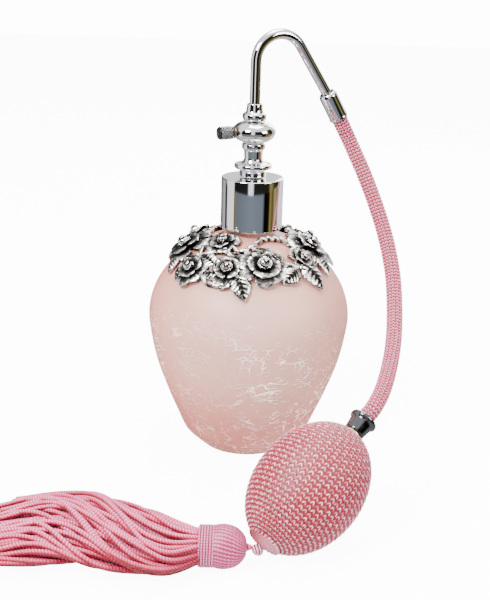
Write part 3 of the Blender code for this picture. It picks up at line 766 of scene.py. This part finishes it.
def leaf(length, width, arch, fold):
    """A pointed leaf with a sawn edge, a groove along its middle and slanting veins."""
    s = np.linspace(0.0, 1.0, 44)[:, None]
    a = (np.arange(PETAL_SIDES) / PETAL_SIDES * 2 * np.pi)[None, :]
    across = np.cos(a)
    teeth = 1 + 0.13 * (((s * 6.5) % 1.0) - 0.5)
    half = 0.5 * width * np.sin(np.pi * s**0.82) ** 0.8 * teeth
    veins = np.abs(np.cos(np.pi * (s * 6.5 - np.abs(across) * 1.3)))
    w = arch * np.sin(np.pi * s) + fold * np.abs(across) * np.sin(np.pi * s) + 0.42 * np.sin(a)
    w = w + 0.22 * veins * np.sin(np.pi * s)
    rib = np.exp(-(across / 0.13) ** 2)
    height = 0.28 + 0.42 * np.abs(across) ** 2 + 0.42 * veins**3 - 0.45 * rib + 0.2 * (1 - np.sin(np.pi * s))
    points = np.stack([half * across, length * (s - 0.5) + 0 * a, w], -1)
    return points, np.clip(height * (0.45 + 0.55 * (np.sin(a) > -0.3)), 0, 1)


# %% [markdown]
# A rose is three rings of petals round a bud. The outer ring lies open, the middle one stands at about
# half a right angle and the inner one is nearly upright, curling in. Each petal is turned and sized a
# little differently, from a seeded list, as a hand-carved model would be.


# %% Rose
RINGS = [  # petals, start, reach, slope at the base, slope at the tip, cup
    (6, 0.12, 1.02, 0.34, -0.60, 0.9), (5, 0.08, 0.72, 0.80, -0.40, 0.6), (4, 0.03, 0.44, 1.20, 0.45, 0.2),
]


def rose(radius, seed):
    """All petals of one rose as flat points (petals, rows, sides, 3), with their height fields."""
    rng = np.random.default_rng(seed)
    shapes, heights = [], []
    for count, start, reach, rise, curl, cup in RINGS:
        for k in range(count):
            turn = (k + rng.uniform(-0.15, 0.15)) / count * 2 * np.pi + reach * 2.0
            size = rng.uniform(0.88, 1.08)
            flat, height = petal(radius * reach * size, radius * 3.3 * reach / count**0.62, rise, curl, cup,
                                 0.35, rng.uniform(0, 6.3))
            flat = flat + [0.0, radius * start, 0.9]
            shapes.append(rolled(flat, turn))
            heights.append(height * (1.0 if reach > 0.5 else 1.2))
    t = np.linspace(np.pi / 2, -np.pi / 2, PETAL_ROWS)[:, None]
    a = (np.arange(PETAL_SIDES) / PETAL_SIDES * 2 * np.pi)[None, :]
    swirl = 0.5 + 0.5 * np.sin(a + t * 6)
    bud = radius * 0.22 * np.cos(t) * (0.85 + 0.15 * swirl)
    lift = 1.6 + radius * 0.26 * (1 + np.sin(t)) + 0 * a
    shapes.append(np.stack([bud * np.cos(a), bud * np.sin(a), lift], -1))
    heights.append(0.25 + 0.75 * swirl * np.ones_like(bud))
    return np.stack(shapes), np.stack(heights)


ROSES = [  # angle in degrees, height, radius
    (-79, 66.0, 7.2), (-9, 68.0, 7.2), (-170, 67.0, 7.4), (-107, 65.0, 5.8),
    (-128, 70.4, 5.2), (-137, 63.6, 5.6), (24, 67.4, 6.4), (56, 66.6, 6.6),
    (86, 66.8, 5.4), (112, 66.4, 6.6), (150, 67.2, 6.8), (-39, 66.6, 4.6),
]
LEAVES = [  # angle in degrees, height, turn from pointing up in degrees, length, width
    (-95.5, 61.2, 200, 9.6, 6.2), (-40.0, 62.4, 190, 10.0, 7.6), (-59, 63.4, 120, 8.4, 5.6),
    (-2, 64.0, 215, 10.6, 6.2), (-19, 63.6, 150, 8.4, 5.4), (-129, 66.6, 70, 7.8, 5.2),
    (-146, 62.2, 190, 7.0, 3.8), (-117, 63.4, 100, 7.6, 4.0), (176, 70.0, 20, 6.4, 4.0),
    (-160, 62.6, 200, 6.8, 3.8), (-22, 69.6, 40, 6.2, 3.4), (38, 63.2, 170, 8.0, 4.4),
    (72, 63.0, 190, 7.6, 4.4), (98, 63.2, 165, 7.6, 4.4), (131, 63.0, 190, 8.0, 4.4),
    (166, 62.8, 170, 7.6, 4.2), (40, 69.4, 20, 6.0, 3.4), (126, 69.6, -20, 6.0, 3.4),
    (8, 63.6, 190, 7.0, 4.0),
]
VINES = [  # points of (angle in degrees, height, lift)
    [(-85, 70.6, 1.0), (-74, 71.6, 1.0), (-60, 71.8, 1.0), (-46, 71.5, 1.0), (-35, 70.9, 1.0),
     (-33, 68.9, 1.0), (-41, 66.6, 1.0)],
    [(-136, 64.2, 0.9), (-126, 62.6, 0.9), (-117, 61.2, 0.9), (-107, 61.5, 0.9), (-98, 63.8, 0.9)],
    [(-72, 65.2, 1.0), (-60, 66.2, 1.0), (-46, 65.2, 1.0), (-38, 66.8, 1.0)],
    [(-142, 66.4, 1.0), (-126, 68.8, 1.0), (-112, 69.8, 1.0), (-98, 69.4, 1.0), (-86, 70.6, 1.0)],
    [(-30, 64.6, 1.0), (-20, 66.8, 1.0), (-6, 70.4, 1.0), (10, 70.8, 1.0), (26, 69.0, 1.0), (44, 66.0, 1.0)],
    [(4, 65.0, 1.0), (20, 62.6, 1.0), (34, 63.0, 1.0), (50, 66.0, 1.0), (70, 69.8, 1.0), (92, 70.0, 1.0),
     (110, 67.6, 1.0)],
    [(60, 64.0, 1.0), (80, 62.4, 1.0), (98, 62.6, 1.0), (118, 65.6, 1.0), (136, 69.4, 1.0), (152, 70.0, 1.0),
     (168, 68.0, 1.0)],
    [(116, 63.8, 1.0), (134, 62.4, 1.0), (150, 63.4, 1.0), (166, 66.2, 1.0), (182, 70.0, 1.0),
     (198, 70.4, 1.0), (216, 68.0, 1.0), (230, 64.8, 1.0)],
]
VINE_RADIUS = 0.85


# %% Cast the collar
def flower_collar():
    grids = []
    for number, (degrees, height, radius) in enumerate(ROSES):
        shapes, heights = rose(radius, number + 3)
        shape = drape(shapes, math.radians(degrees), height)
        grids.append(surface(f"rose_{number}", shape, wrap_columns=True, fields={"height": heights}))
    for number, (degrees, height, turn, length, width) in enumerate(LEAVES):
        flat, shade = leaf(length, width, 0.9, -0.55)
        flat = rolled(flat, math.radians(turn)) + [0.0, 0.0, 0.85]
        shape = drape(flat, math.radians(degrees), height)
        grids.append(surface(f"leaf_{number}", shape, wrap_columns=True, fields={"height": shade}))
    for number, points in enumerate(VINES):
        line = spline(points, 14)
        flat = np.stack([0 * line[:, 0], 0 * line[:, 0], line[:, 2]], -1)
        path = drape(flat, np.radians(line[:, 0]), line[:, 1])
        around = np.arange(14) / 14 * 2 * np.pi
        bark = 0.5 + 0.5 * np.cos(2 * around[None, :] + np.arange(len(path))[:, None] * 0.55)
        shape = capped(path, VINE_RADIUS * MM * (0.86 + 0.22 * bark), 14, (0.0, 0.0, 1.0))
        top = 0.5 + 0.35 * np.cos(around) + 0.35 * np.sin(around)
        shade = np.clip(top[None, :] * (0.45 + 0.6 * bark), 0, 1)
        shade = np.vstack([shade[:1], shade, shade[-1:]])
        grids.append(surface(f"vine_{number}", shape, wrap_columns=True, fields={"height": shade}))
    whole = bmesh.new()
    for mesh in grids:
        whole.from_mesh(mesh)
        bpy.data.meshes.remove(mesh)
    mesh = bpy.data.meshes.new("flower_collar")
    whole.to_mesh(mesh)
    whole.free()
    piece("cast_flower_collar", seal(mesh), SILVER, "bottle", ["flower_collar"])
    print("roses:", len(ROSES), "leaves:", len(LEAVES), "vines:", len(VINES))


flower_collar()

# %% [markdown]
# ## The chrome sprayer
#
# Collar, stem, ball, nut and ferrules are turned metal. Their outlines repeat the solids' sizes, with
# many more sides and with rounded corners, so that each edge holds a thin bright line.

# %% Collar, stem, ball and nut
COLLAR = [(2.6, 90.8), (10.0, 90.8), (10.0, 74.4), (9.5, 74.4), (9.5, 90.2), (2.6, 90.2), (2.6, 90.8)]
shell = spin(rounded(COLLAR, 0.35), 160)
piece("screw_collar", surface("screw_collar", shell, wrap_columns=True), CHROME, "collar",
      ["collar_shell"])

STEM = [(0.8, 101.8), (3.3, 101.8), (3.75, 101.4), (3.75, 100.0), (3.1, 99.5), (3.0, 98.4),
        (2.9, 96.6), (3.5, 95.5), (4.6, 95.2), (5.9, 95.1), (6.05, 94.5), (5.9, 93.7),
        (4.9, 93.4), (4.4, 93.1), (4.2, 92.6), (4.2, 91.1), (2.5, 91.1), (2.5, 93.4),
        (0.8, 93.4), (0.8, 101.8)]
stem = spin(rounded(STEM, 0.3), 112)
piece("turned_stem", surface("turned_stem", stem, wrap_columns=True), CHROME, "head", ["head_stem"])

BALL_HEIGHT = 105.3
BALL_RADIUS = 6.9
BALL_HALF = 3.3
angle = np.linspace(math.radians(66), math.radians(-66), 40)
ball = np.stack([BALL_RADIUS * np.cos(angle) ** 0.8,
                 BALL_HEIGHT + BALL_HALF * np.sin(angle) / math.sin(math.radians(66))], -1)
ball = np.vstack([[(0.9, BALL_HEIGHT + BALL_HALF)], ball, [(0.9, BALL_HEIGHT - BALL_HALF)],
                  [(0.9, BALL_HEIGHT + BALL_HALF)]])
piece("mixing_ball", surface("mixing_ball", spin(ball, 128), wrap_columns=True), CHROME,
      "head", ["head_ball"])

NUT = [(2.0, 114.1), (2.4, 114.1), (2.65, 112.0), (2.9, 111.3), (3.5, 111.1), (3.8, 110.7), (3.8, 109.5),
       (3.4, 108.9), (0.9, 108.9), (0.9, 109.7), (2.0, 109.7), (2.0, 114.1)]
piece("tube_nut", surface("tube_nut", spin(rounded(NUT, 0.22), 112), wrap_columns=True), CHROME,
      "head", ["gooseneck_nut"])

# %% [markdown]
# The gooseneck rises on the bottle's axis, turns over through an arc, and runs down straight to the
# hose. It lies in one upright plane, so its line is worked out as (distance out, height) and then turned
# to the plane's direction.

# %% Gooseneck and upper ferrule
HEAD_TURN = math.radians(27.0)
OUT = np.array([math.cos(HEAD_TURN), math.sin(HEAD_TURN), 0.0])
BEND_RADIUS = 8.5
BEND_HEIGHT = 126.9
LEG_SLOPE = math.radians(55.6)
LEG_END = (26.7, 115.4)
HOSE_START = np.array([28.0, 14.3, 107.7])


def gooseneck():
    arc = np.linspace(0, math.pi / 2 + LEG_SLOPE, 48)
    out = np.concatenate([[0.0, 0.0], BEND_RADIUS * (1 - np.cos(arc)), [LEG_END[0]]])
    up = np.concatenate([[110.0, 118.0], BEND_HEIGHT + BEND_RADIUS * np.sin(arc), [LEG_END[1]]])
    line = even(np.stack([out * OUT[0], out * OUT[1], up], -1) * MM, 120)
    across = (-OUT[1], OUT[0], 0.0)
    outer = tube(line, 1.7 * MM, 32, across)
    inner = tube(line, 0.9 * MM, 32, across)
    wall = np.concatenate([outer, inner[::-1], outer[:1]], axis=0)
    mesh = surface("bent_tube", wall, wrap_columns=True)
    piece("bent_tube", mesh, CHROME, "head", ["gooseneck_tube"])
    return line


neck_line = gooseneck()
along_leg = neck_line[-1] - HOSE_START * MM
sleeve = float(np.linalg.norm(along_leg)) / MM
FERRULE = [(2.0, sleeve + 1.4), (2.4, sleeve + 1.4), (3.05, sleeve + 0.5), (3.05, 1.6), (3.15, 1.4),
           (3.15, 0.7), (2.3, 0.7), (2.3, sleeve - 0.6), (2.0, sleeve - 0.6), (2.0, sleeve + 1.4)]
ferrule = stand(spin(rounded(FERRULE, 0.35), 96), HOSE_START * MM, along_leg)
piece("hose_sleeve", surface("hose_sleeve", ferrule, wrap_columns=True), CHROME, "head",
      ["upper_ferrule"])


# %% [markdown]
# ### The knurled nozzle
#
# Knurling is two sets of slanting grooves that cross. With `a` the angle and `h` the height, each set is
# a sine of (a times a whole number, plus or minus h), and the smaller of the two cuts the diamond.


# %% Nozzle
NOZZLE_TIP = 12.25
NOZZLE_ROOT = 8.1
NOZZLE_RADIUS = 1.88
KNURL_HEIGHT = 0.30
KNURL_SIDES = 176
KNURL_SHADE = 0.66


def nozzle():
    origin = np.array([0.0, 0.0, BALL_HEIGHT]) * MM
    h = np.linspace(NOZZLE_TIP, NOZZLE_ROOT, 90)[:, None]
    a = (np.arange(KNURL_SIDES) / KNURL_SIDES * 2 * np.pi)[None, :]
    one = np.abs(np.sin(a * 6 + h * 3.2))
    two = np.abs(np.sin(a * 6 - h * 3.2))
    fade = np.clip(np.minimum(NOZZLE_TIP - h, h - NOZZLE_ROOT) / 0.25, 0, 1)
    knurl = np.minimum(one, two)
    radius = NOZZLE_RADIUS + KNURL_HEIGHT * knurl * fade
    skin = np.stack([radius * np.cos(a), radius * np.sin(a), np.broadcast_to(h, radius.shape)], -1) * MM
    face = np.array([(0.5, 11.9), (0.5, 12.3), (0.75, 12.4), (1.6, 12.4), (1.85, 12.33)])
    back = np.array([(1.9, 7.95), (1.6, 7.9), (1.6, 9.1), (1.3, 9.3), (1.3, 11.9), (0.5, 11.9)])
    whole = np.concatenate([spin(face, KNURL_SIDES), skin, spin(back, KNURL_SIDES)], axis=0)
    # The knurl's `height` field paints shade in its grooves.
    height = np.concatenate([np.full((len(face), KNURL_SIDES), 0.25), knurl * fade * KNURL_SHADE,
                             np.full((len(back), KNURL_SIDES), 0.3)])
    mesh = surface("nozzle", stand(whole, origin, -OUT), wrap_columns=True, fields={"height": height})
    piece("knurled_nozzle", mesh, KNURLED_CHROME, "nozzle", ["nozzle_cap"])


nozzle()

# %% [markdown]
# ## The knitted hose
#
# A rubber tube in a knitted sleeve. Knitting in a tube makes columns of Vs that run along it. Round the
# hose the angle is cut into columns, and inside a column `x` runs from -1 to 1. The two arms of the Vs
# are ridges along lines where (distance along - slope * |x|) is a whole number of stitches.

# %% Hose
HOSE_ROUTE = [
    (28.0, 14.3, 107.7), (29.8, 15.0, 104.2), (32.4, 14.8, 99.2), (38.1, 10.8, 87.5), (43.2, 3.8, 74.4),
    (45.9, -5.5, 63.0), (46.3, -15.0, 53.4), (45.4, -25.0, 45.6), (43.3, -35.0, 40.3), (40.4, -45.0, 36.6),
    (37.4, -51.1, 33.75), (35.05, -53.65, 31.75),
]
HOSE_RADIUS = 2.65
HOSE_COLUMNS = 13
STITCH = 1.15


def stitches(x, rows_along):
    """Ridge of the Vs, 0 in the grooves to 1 on the crown: a cosine that dies out at the column's edge."""
    ridge = (0.5 + 0.5 * np.cos(2 * np.pi * (rows_along - 0.75 * np.abs(x)))) ** 1.3
    return ridge * (1 - np.abs(x) ** 4) * (0.45 + 0.55 * np.minimum(1, np.abs(x) * 4))


def hose():
    line = even(spline(HOSE_ROUTE, 20) * MM, 640)
    length = line_length(line)
    around = 120
    a = np.arange(around) / around * HOSE_COLUMNS
    x = (a % 1.0) * 2 - 1
    rows = np.linspace(0, length / (STITCH * MM), len(line))[:, None]
    crown = stitches(x[None, :], rows)
    radius = (HOSE_RADIUS - 0.42 + 0.42 * crown) * MM
    body = tube(line, radius, around, (1.0, 0.0, 0.0))
    ends = capped_ends(line, body)
    crown = np.concatenate([crown[:1] * 0, crown, crown[-1:] * 0])
    # The `crown` field paints shade in the grooves between stitches and light on their crowns.
    mesh = surface("hose", ends, wrap_columns=True, fields={"crown": crown})
    made = piece("knitted_hose", seal(mesh), HOSE_KNIT)
    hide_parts("hose")
    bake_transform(made)
    print("hose length:", round(length / MM, 1), "mm")


def capped_ends(line, body):
    """Close a tube's two ends onto its line."""
    first = np.broadcast_to(line[0], body[:1].shape)
    last = np.broadcast_to(line[-1], body[:1].shape)
    return np.concatenate([first, body, last], axis=0)


hose()

# %% [markdown]
# ## The bulb and its net
#
# The bulb is an egg of rubber, and the net is knitted round it. Each point of the net is found from an
# angle round the bulb's axis and one along it, on an ellipse, and is lifted by the stitches' ridges. The
# columns narrow towards both ends, as they do on the real net, because their number stays the same.

# %% Bulb
BULB_CENTRE = np.array([18.3, -71.0, 17.55])
BULB_AXIS = np.array([0.598, 0.620, 0.507]) / np.linalg.norm([0.598, 0.620, 0.507])
BULB_HALF = 21.3
BULB_RADIUS = 15.9
NET_COLUMNS = 52
NET_ROWS = 38


def egg(half_length, radius, open_radius, rows, columns, lift=0.0):
    """An ellipse turned about the bulb's axis, between two openings, lifted along its normal."""
    limit = math.acos(open_radius / radius)
    t = np.linspace(limit, -limit, rows)[:, None]
    a = (np.arange(columns) / columns * 2 * np.pi)[None, :]
    normal_r, normal_h = np.cos(t) / radius, np.sin(t) / half_length
    size = np.hypot(normal_r, normal_h)
    r = radius * np.cos(t) + lift * normal_r / size
    h = half_length * np.sin(t) + lift * normal_h / size
    return np.stack([r * np.cos(a), r * np.sin(a), h + 0 * a], -1) * MM


def net():
    rows, columns = NET_ROWS * 6 + 1, NET_COLUMNS * 7
    a = np.arange(columns) / columns * NET_COLUMNS
    x = (a % 1.0) * 2 - 1
    along = np.linspace(0, NET_ROWS, rows)[:, None]
    uneven = 0.80 + 0.20 * np.cos(3.1 * a + 0.9 * along) * np.cos(0.7 * a - 2.3 * along)
    crown = (stitches(x[None, :], along) * uneven) ** 1.25
    outer = egg(BULB_HALF, BULB_RADIUS, 2.9, rows, columns, lift=-0.62 + 0.62 * crown)
    inner = egg(BULB_HALF - 0.8, BULB_RADIUS - 0.8, 2.7, 30, columns)
    whole = np.concatenate([outer, inner[::-1], outer[:1]])
    crown = np.concatenate([crown, np.zeros((30, columns)), crown[:1]])
    placed = stand(whole, BULB_CENTRE * MM, BULB_AXIS)
    # The `crown` field paints shade in the grooves between stitches and light on their crowns.
    mesh = surface("net", placed, wrap_columns=True, fields={"crown": crown})
    made = piece("knitted_net", mesh, NET_KNIT, stands_for=["net_cover"])
    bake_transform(made)


def rubber():
    outer = egg(20.1, 14.7, 3.7, 60, 96)
    inner = egg(18.5, 13.1, 2.8, 50, 96)
    placed = stand(np.concatenate([outer, inner[::-1], outer[:1]]), BULB_CENTRE * MM, BULB_AXIS)
    made = piece("bulb_rubber", surface("rubber", placed, wrap_columns=True), RUBBER,
                 stands_for=["rubber_bulb"])
    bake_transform(made)


net()
rubber()

LOWER_FERRULE = [(2.3, 27.4), (3.8, 27.4), (4.25, 27.0), (4.25, 26.2), (3.8, 25.8), (3.55, 25.4),
                 (3.3, 23.6), (3.1, 21.9), (2.9, 21.6), (2.7, 21.6), (2.7, 27.2), (2.3, 27.2),
                 (2.3, 27.4)]
ferrule = stand(spin(rounded(LOWER_FERRULE, 0.3), 96), BULB_CENTRE * MM, BULB_AXIS)
piece("bulb_sleeve", surface("bulb_sleeve", ferrule, wrap_columns=True), DARK_CHROME,
      "bulb", ["bulb_ferrule"])


# %% [markdown]
# Where the net ends at the tail, its threads are drawn together and swirl round the knot.


# %% Gathered ends
GATHER_POINTS = 16


def gather(name, body, height, reach, inner, threads, sweep):
    """Threads that start on a ring and close in on the axis while turning round it by `sweep`."""
    t = np.linspace(0, 1, GATHER_POINTS)[None, :]
    start = (np.arange(threads) / threads * 2 * np.pi)[:, None]
    angle = start + sweep * t**1.4
    radius = reach + (inner - reach) * t
    rise = height * (1 - t) + 1.2 * t**2
    line = np.stack([radius * np.cos(angle), radius * np.sin(angle), rise + 0 * angle], -1) * MM
    thick = 0.50 * MM * (1 - 0.4 * t)[..., None]
    shape = capped(line, np.broadcast_to(thick, (threads, GATHER_POINTS, 1)), 8, (0.0, 0.0, 1.0))
    axis = -BULB_AXIS
    at = (BULB_CENTRE + axis * 20.7) * MM
    # Painted light on one side of each thread, painted shade on the other.
    crown = np.broadcast_to(0.28 + 0.3 * np.cos(np.arange(8) / 8 * 2 * np.pi), shape.shape[:-1])
    mesh = seal(surface(name, stand(shape, at, axis), wrap_columns=True, fields={"crown": crown}))
    piece(name, mesh, NET_KNIT, body)


gather("tail_swirl", "tail", -0.45, 4.9, 0.9, 26, 1.7)


# %% Tail knot
def knot():
    """A small ball of wound thread: its skin is ribbed by a sine of the angle plus the height."""
    t = np.linspace(np.pi / 2, -np.pi / 2, 40)[:, None]
    a = (np.arange(64) / 64 * 2 * np.pi)[None, :]
    ribs = 0.5 + 0.5 * np.cos(7 * a + 9 * t)
    radius = 1.8 * np.cos(t) * (0.92 + 0.08 * ribs)
    shape = np.stack([radius * np.cos(a), radius * np.sin(a), 1.45 * np.sin(t) + 0 * a], -1) * MM
    placed = stand(shape, (BULB_CENTRE - BULB_AXIS * 23.3) * MM, BULB_AXIS)
    # The ribs, as `crown`, paint shade between the wound turns and light on their crowns.
    mesh = seal(surface("knot", placed, wrap_columns=True, fields={"crown": ribs}))
    piece("wound_knot", mesh, WOUND_KNIT, "tail", ["tail_knot"])


knot()

# %% [markdown]
# ## The tassel
#
# A wooden bead is covered with thread that fans from the tip, a band is wound round below it, and then
# the cords run free. The dome's ribs follow its meridians; the band's follow its turns.

# %% Tassel head and band
TASSEL_TIP = np.array([1.6, -85.2, 6.35])
BACK = np.array([-1.0, 0.0, 0.0])


DOME_OUTLINE = [(1.2, 0.2), (2.4, 0.35), (4.0, 1.4), (5.4, 3.2), (6.05, 5.6), (6.05, 7.6), (5.7, 9.2)]
BAND_START = 8.9
BAND_END = 13.4


def dome():
    outline = spline(DOME_OUTLINE, 9)[::-1]
    a = (np.arange(240) / 240 * 2 * np.pi)[None, :]
    lean = a + 0.9 * np.linspace(0, 1, len(outline))[:, None] ** 2
    ribs = np.abs(np.cos(lean * 17)) ** 0.6
    fine = 0.5 + 0.5 * np.cos(np.arange(len(outline))[:, None] * 1.5 + lean * 34)
    radius = outline[:, :1] * (0.955 + 0.035 * ribs + 0.01 * fine)
    height = np.broadcast_to(outline[:, 1:], radius.shape)
    outer = np.stack([radius * np.cos(a), radius * np.sin(a), height], -1) * MM
    inner = spin(np.array([(1.2, 1.0), (2.6, 1.4), (4.2, 3.4), (5.0, 6.0), (5.0, 9.2)]), 240)
    whole = np.concatenate([outer, inner, outer[:1]])
    # Painted shade between the dome's ribs, painted light on their crowns.
    crown = np.concatenate([0.85 * ribs * (0.45 + 0.55 * fine), np.zeros((5, 240)), ribs[:1] * 0])
    mesh = surface("dome", stand(whole, TASSEL_TIP * MM, BACK), wrap_columns=True, fields={"crown": crown})
    piece("wound_dome", mesh, WOUND_KNIT, "tassel", ["tassel_head"])


def band():
    h = np.linspace(BAND_START, BAND_END, 84)[::-1, None]
    a = (np.arange(200) / 200 * 2 * np.pi)[None, :]
    turns = np.abs(np.sin((h - BAND_START) * np.pi / 0.75 + 0.35 * np.sin(a))) ** 0.6
    plait = 0.5 + 0.5 * np.cos(a * 50 + (h - BAND_START) * 8.4)
    ends = np.clip(np.minimum(h - BAND_START, BAND_END - h) / 0.5, 0, 1) ** 0.5
    radius = 4.75 + 0.75 * ends + 0.30 * turns + 0.10 * plait * turns
    outer = np.stack([radius * np.cos(a), radius * np.sin(a), h + 0 * a], -1) * MM
    inner = spin(np.array([(4.4, BAND_START), (4.4, BAND_END)]), 200)
    whole = np.concatenate([outer, inner, outer[:1]])
    # Painted shade between the band's turns, painted light on their crowns.
    crown = turns * (0.35 + 0.60 * plait)
    crown = np.concatenate([crown, np.zeros((2, 200)), crown[:1]])
    mesh = surface("band", stand(whole, TASSEL_TIP * MM, BACK), wrap_columns=True, fields={"crown": crown})
    piece("wound_band", mesh, WOUND_KNIT, "tassel", ["tassel_binding"])


dome()
band()

# %% [markdown]
# Two strands, each half a turn behind the other round the same short line, tie the dome to the knot.


# %% Link
LINK_START = 1.9
LINK_END = -1.15
STRAND_RADIUS = 0.62


def link():
    along = np.linspace(LINK_START, LINK_END, 24)
    turn = np.array([0.0, np.pi])[:, None] + (along - LINK_END)[None, :] * 1.3
    apart = 0.5 + 0.55 * np.clip(along / LINK_START, 0, 1)
    line = np.stack([apart * np.cos(turn), apart * np.sin(turn), along + 0 * turn], -1) * MM
    shape = stand(capped(line, STRAND_RADIUS * MM, 14, (1.0, 0.0, 0.0)), TASSEL_TIP * MM, BACK)
    # A steady `crown`, so the cord's painted highlight and shade come from its stripes alone.
    mesh = seal(surface("link", shape, wrap_columns=True, uv_size=(1.0, 3.2 * MM), fields={"crown": 0.75}))
    piece("link_cord", mesh, CORD, "tassel", ["tassel_link"])


link()

# %% [markdown]
# ### The cords of the skirt
#
# The pile of cords is known by its cross-sections: how far along it, where its middle is, and how wide
# and high it lies. Every cord keeps its own place in the bundle, `(p, q)` in a round disc, and the disc
# slowly rolls over along the tassel, so cords on top sweep across the pile in long curves. A slow
# sideways wave of its own keeps each cord from lying dead parallel to the next.

# %% Skirt
SKIRT = np.array([  # distance from the tip, middle across, middle height, half width, half height
    (9.8, -85.2, 6.35, 3.6, 3.6), (13.4, -85.2, 6.35, 5.0, 5.0), (18.6, -87.4, 6.6, 11.2, 6.0),
    (25.6, -84.6, 6.6, 14.8, 6.0), (35.6, -80.2, 6.4, 17.6, 5.6), (45.6, -76.4, 6.0, 19.8, 5.2),
    (56.6, -75.6, 5.6, 20.2, 4.8), (67.6, -77.8, 5.0, 18.0, 4.2), (74.6, -79.0, 4.2, 15.6, 3.4),
])
CORD_RADIUS = 0.80
CORD_POINTS = 60
CORD_SIDES = 10
SKIRT_START = 9.9
SKIRT_END = 74.0
SMOOTHED = 9  # points that each point is averaged over
CORDS = 84
DECLARED_CORDS = 38
ROLL = math.radians(-140.0)


def smoothed(row):
    """The running mean of a row of numbers."""
    return np.convolve(np.pad(row, SMOOTHED // 2, "edge"), np.ones(SMOOTHED) / SMOOTHED, "valid")


def cord_lines():
    rng = np.random.default_rng(7)
    number = np.arange(CORDS)
    share = np.sqrt((number + 0.5) / CORDS)
    turn = number * math.pi * (3 - math.sqrt(5))
    reach = SKIRT_END - rng.uniform(0, 7, CORDS)
    t = np.linspace(0, 1, CORD_POINTS)[None, :]
    out = SKIRT_START + (reach[:, None] - SKIRT_START) * t
    across, height, wide, tall = (np.interp(out, SKIRT[:, 0], SKIRT[:, k]) for k in range(1, 5))
    rolled_share = np.clip((out - 12) / 50, 0, 1)
    roll = ROLL * rolled_share**2 * (3 - 2 * rolled_share)
    wave = 0.26 * np.sin(out / 9.0 + rng.uniform(0, 6.3, CORDS)[:, None]) * np.clip((out - 14) / 14, 0, 1)
    angle = turn[:, None] + roll + wave
    p = share[:, None] * np.cos(angle)
    q = share[:, None] * np.sin(angle)
    y = across + (wide - CORD_RADIUS) * np.sign(p) * np.abs(p) ** 0.95
    z = height + (tall - CORD_RADIUS) * q
    y, z = (np.apply_along_axis(smoothed, 1, values) for values in (y, z))
    z = np.maximum(z, CORD_RADIUS + 0.05)
    return np.stack([TASSEL_TIP[0] - out, y, z], -1) * MM


def skirt():
    """Every cord as a tube, whose `crown` field is painted light along its upper side, brightest on top of
    the pile, with painted shade underneath and lower in the pile.
    """
    lines = cord_lines()
    shapes = capped(lines, CORD_RADIUS * MM, CORD_SIDES, (0.0, 0.0, 1.0))
    # Painted shade: cords lower in the pile are painted darker, those on top lighter.
    lift = lines[..., 2] / lines[..., 2].max(axis=0, keepdims=True)
    lift = np.concatenate([lift[:, :1], lift, lift[:, -1:]], axis=1)[..., None]
    # Painted light on each cord's upper side, painted shade underneath.
    lit_upper_side = np.clip(0.22 + 0.85 * np.sin(np.arange(CORD_SIDES) / CORD_SIDES * 2 * np.pi), 0, 1) ** 1.3
    cord_light_and_shade = np.clip(lit_upper_side * (0.30 + 0.70 * lift), 0, 1)
    lengths = np.linalg.norm(np.diff(lines, axis=1), axis=2).sum(axis=1)
    longest = np.argsort(-lengths)
    size = (1.0, float(lengths.mean()))
    for rank, k in enumerate(longest[:DECLARED_CORDS]):
        mesh = seal(surface(f"cord_{rank}", shapes[k], wrap_columns=True, uv_size=(1.0, float(lengths[k])),
                            fields={"crown": cord_light_and_shade[k]}))
        made = piece(f"tassel_cord_{rank:02d}", mesh, CORD, "tassel")
    others = longest[DECLARED_CORDS:]
    rest = seal(surface("shorter_cords", shapes[others], wrap_columns=True, uv_size=size,
                        fields={"crown": cord_light_and_shade[others]}))
    piece("tassel_cords_shorter", rest, CORD, "tassel", ["tassel_skirt"])
    sorted_mm = lengths[longest] / MM
    print("skirt cords:", CORDS, "from", round(sorted_mm[-1], 1), "to", round(sorted_mm[0], 1), "mm;",
          "declared down to", round(sorted_mm[DECLARED_CORDS - 1], 1), "mm")


skirt()

# %% [markdown]
# ## The pieces carried over
#
# Parts that are out of sight in normal use, such as the valve, the gasket and the dip tube, keep their
# solids' shapes. They only get their finishes.


# %% Finishes for the inner pieces
def clear_tube():
    look, tree, shader = finish("dip_tube_plastic", (0.93, 0.94, 0.93), 0.12, Transmission_Weight=0.7,
                                IOR=1.46)
    cloud = noise(tree, 200.0, 3.0)
    tree.links.new(span(tree, cloud.outputs["Fac"], 0.3, 0.7, 0.10, 0.28), shader.inputs["Roughness"])
    return look


INNER = {
    clear_tube(): ["dip_tube"],
    WHITE_PLASTIC: ["neck_gasket", "tube_plug", "collar_thread_insert"],
    BRASS: ["hose_barb", "nozzle_jet", "outlet_valve_body", "intake_valve_body"],
    BLACK_RUBBER: ["nozzle_seal", "outlet_valve_disc", "intake_valve_disc"],
    BEAD_WOOD: ["tassel_bead"],
}
for look, names in INNER.items():
    for name in names:
        node = bpy.data.objects[name]
        node.data.materials.clear()
        node.data.materials.append(look)
        print(name, "->", look.name)
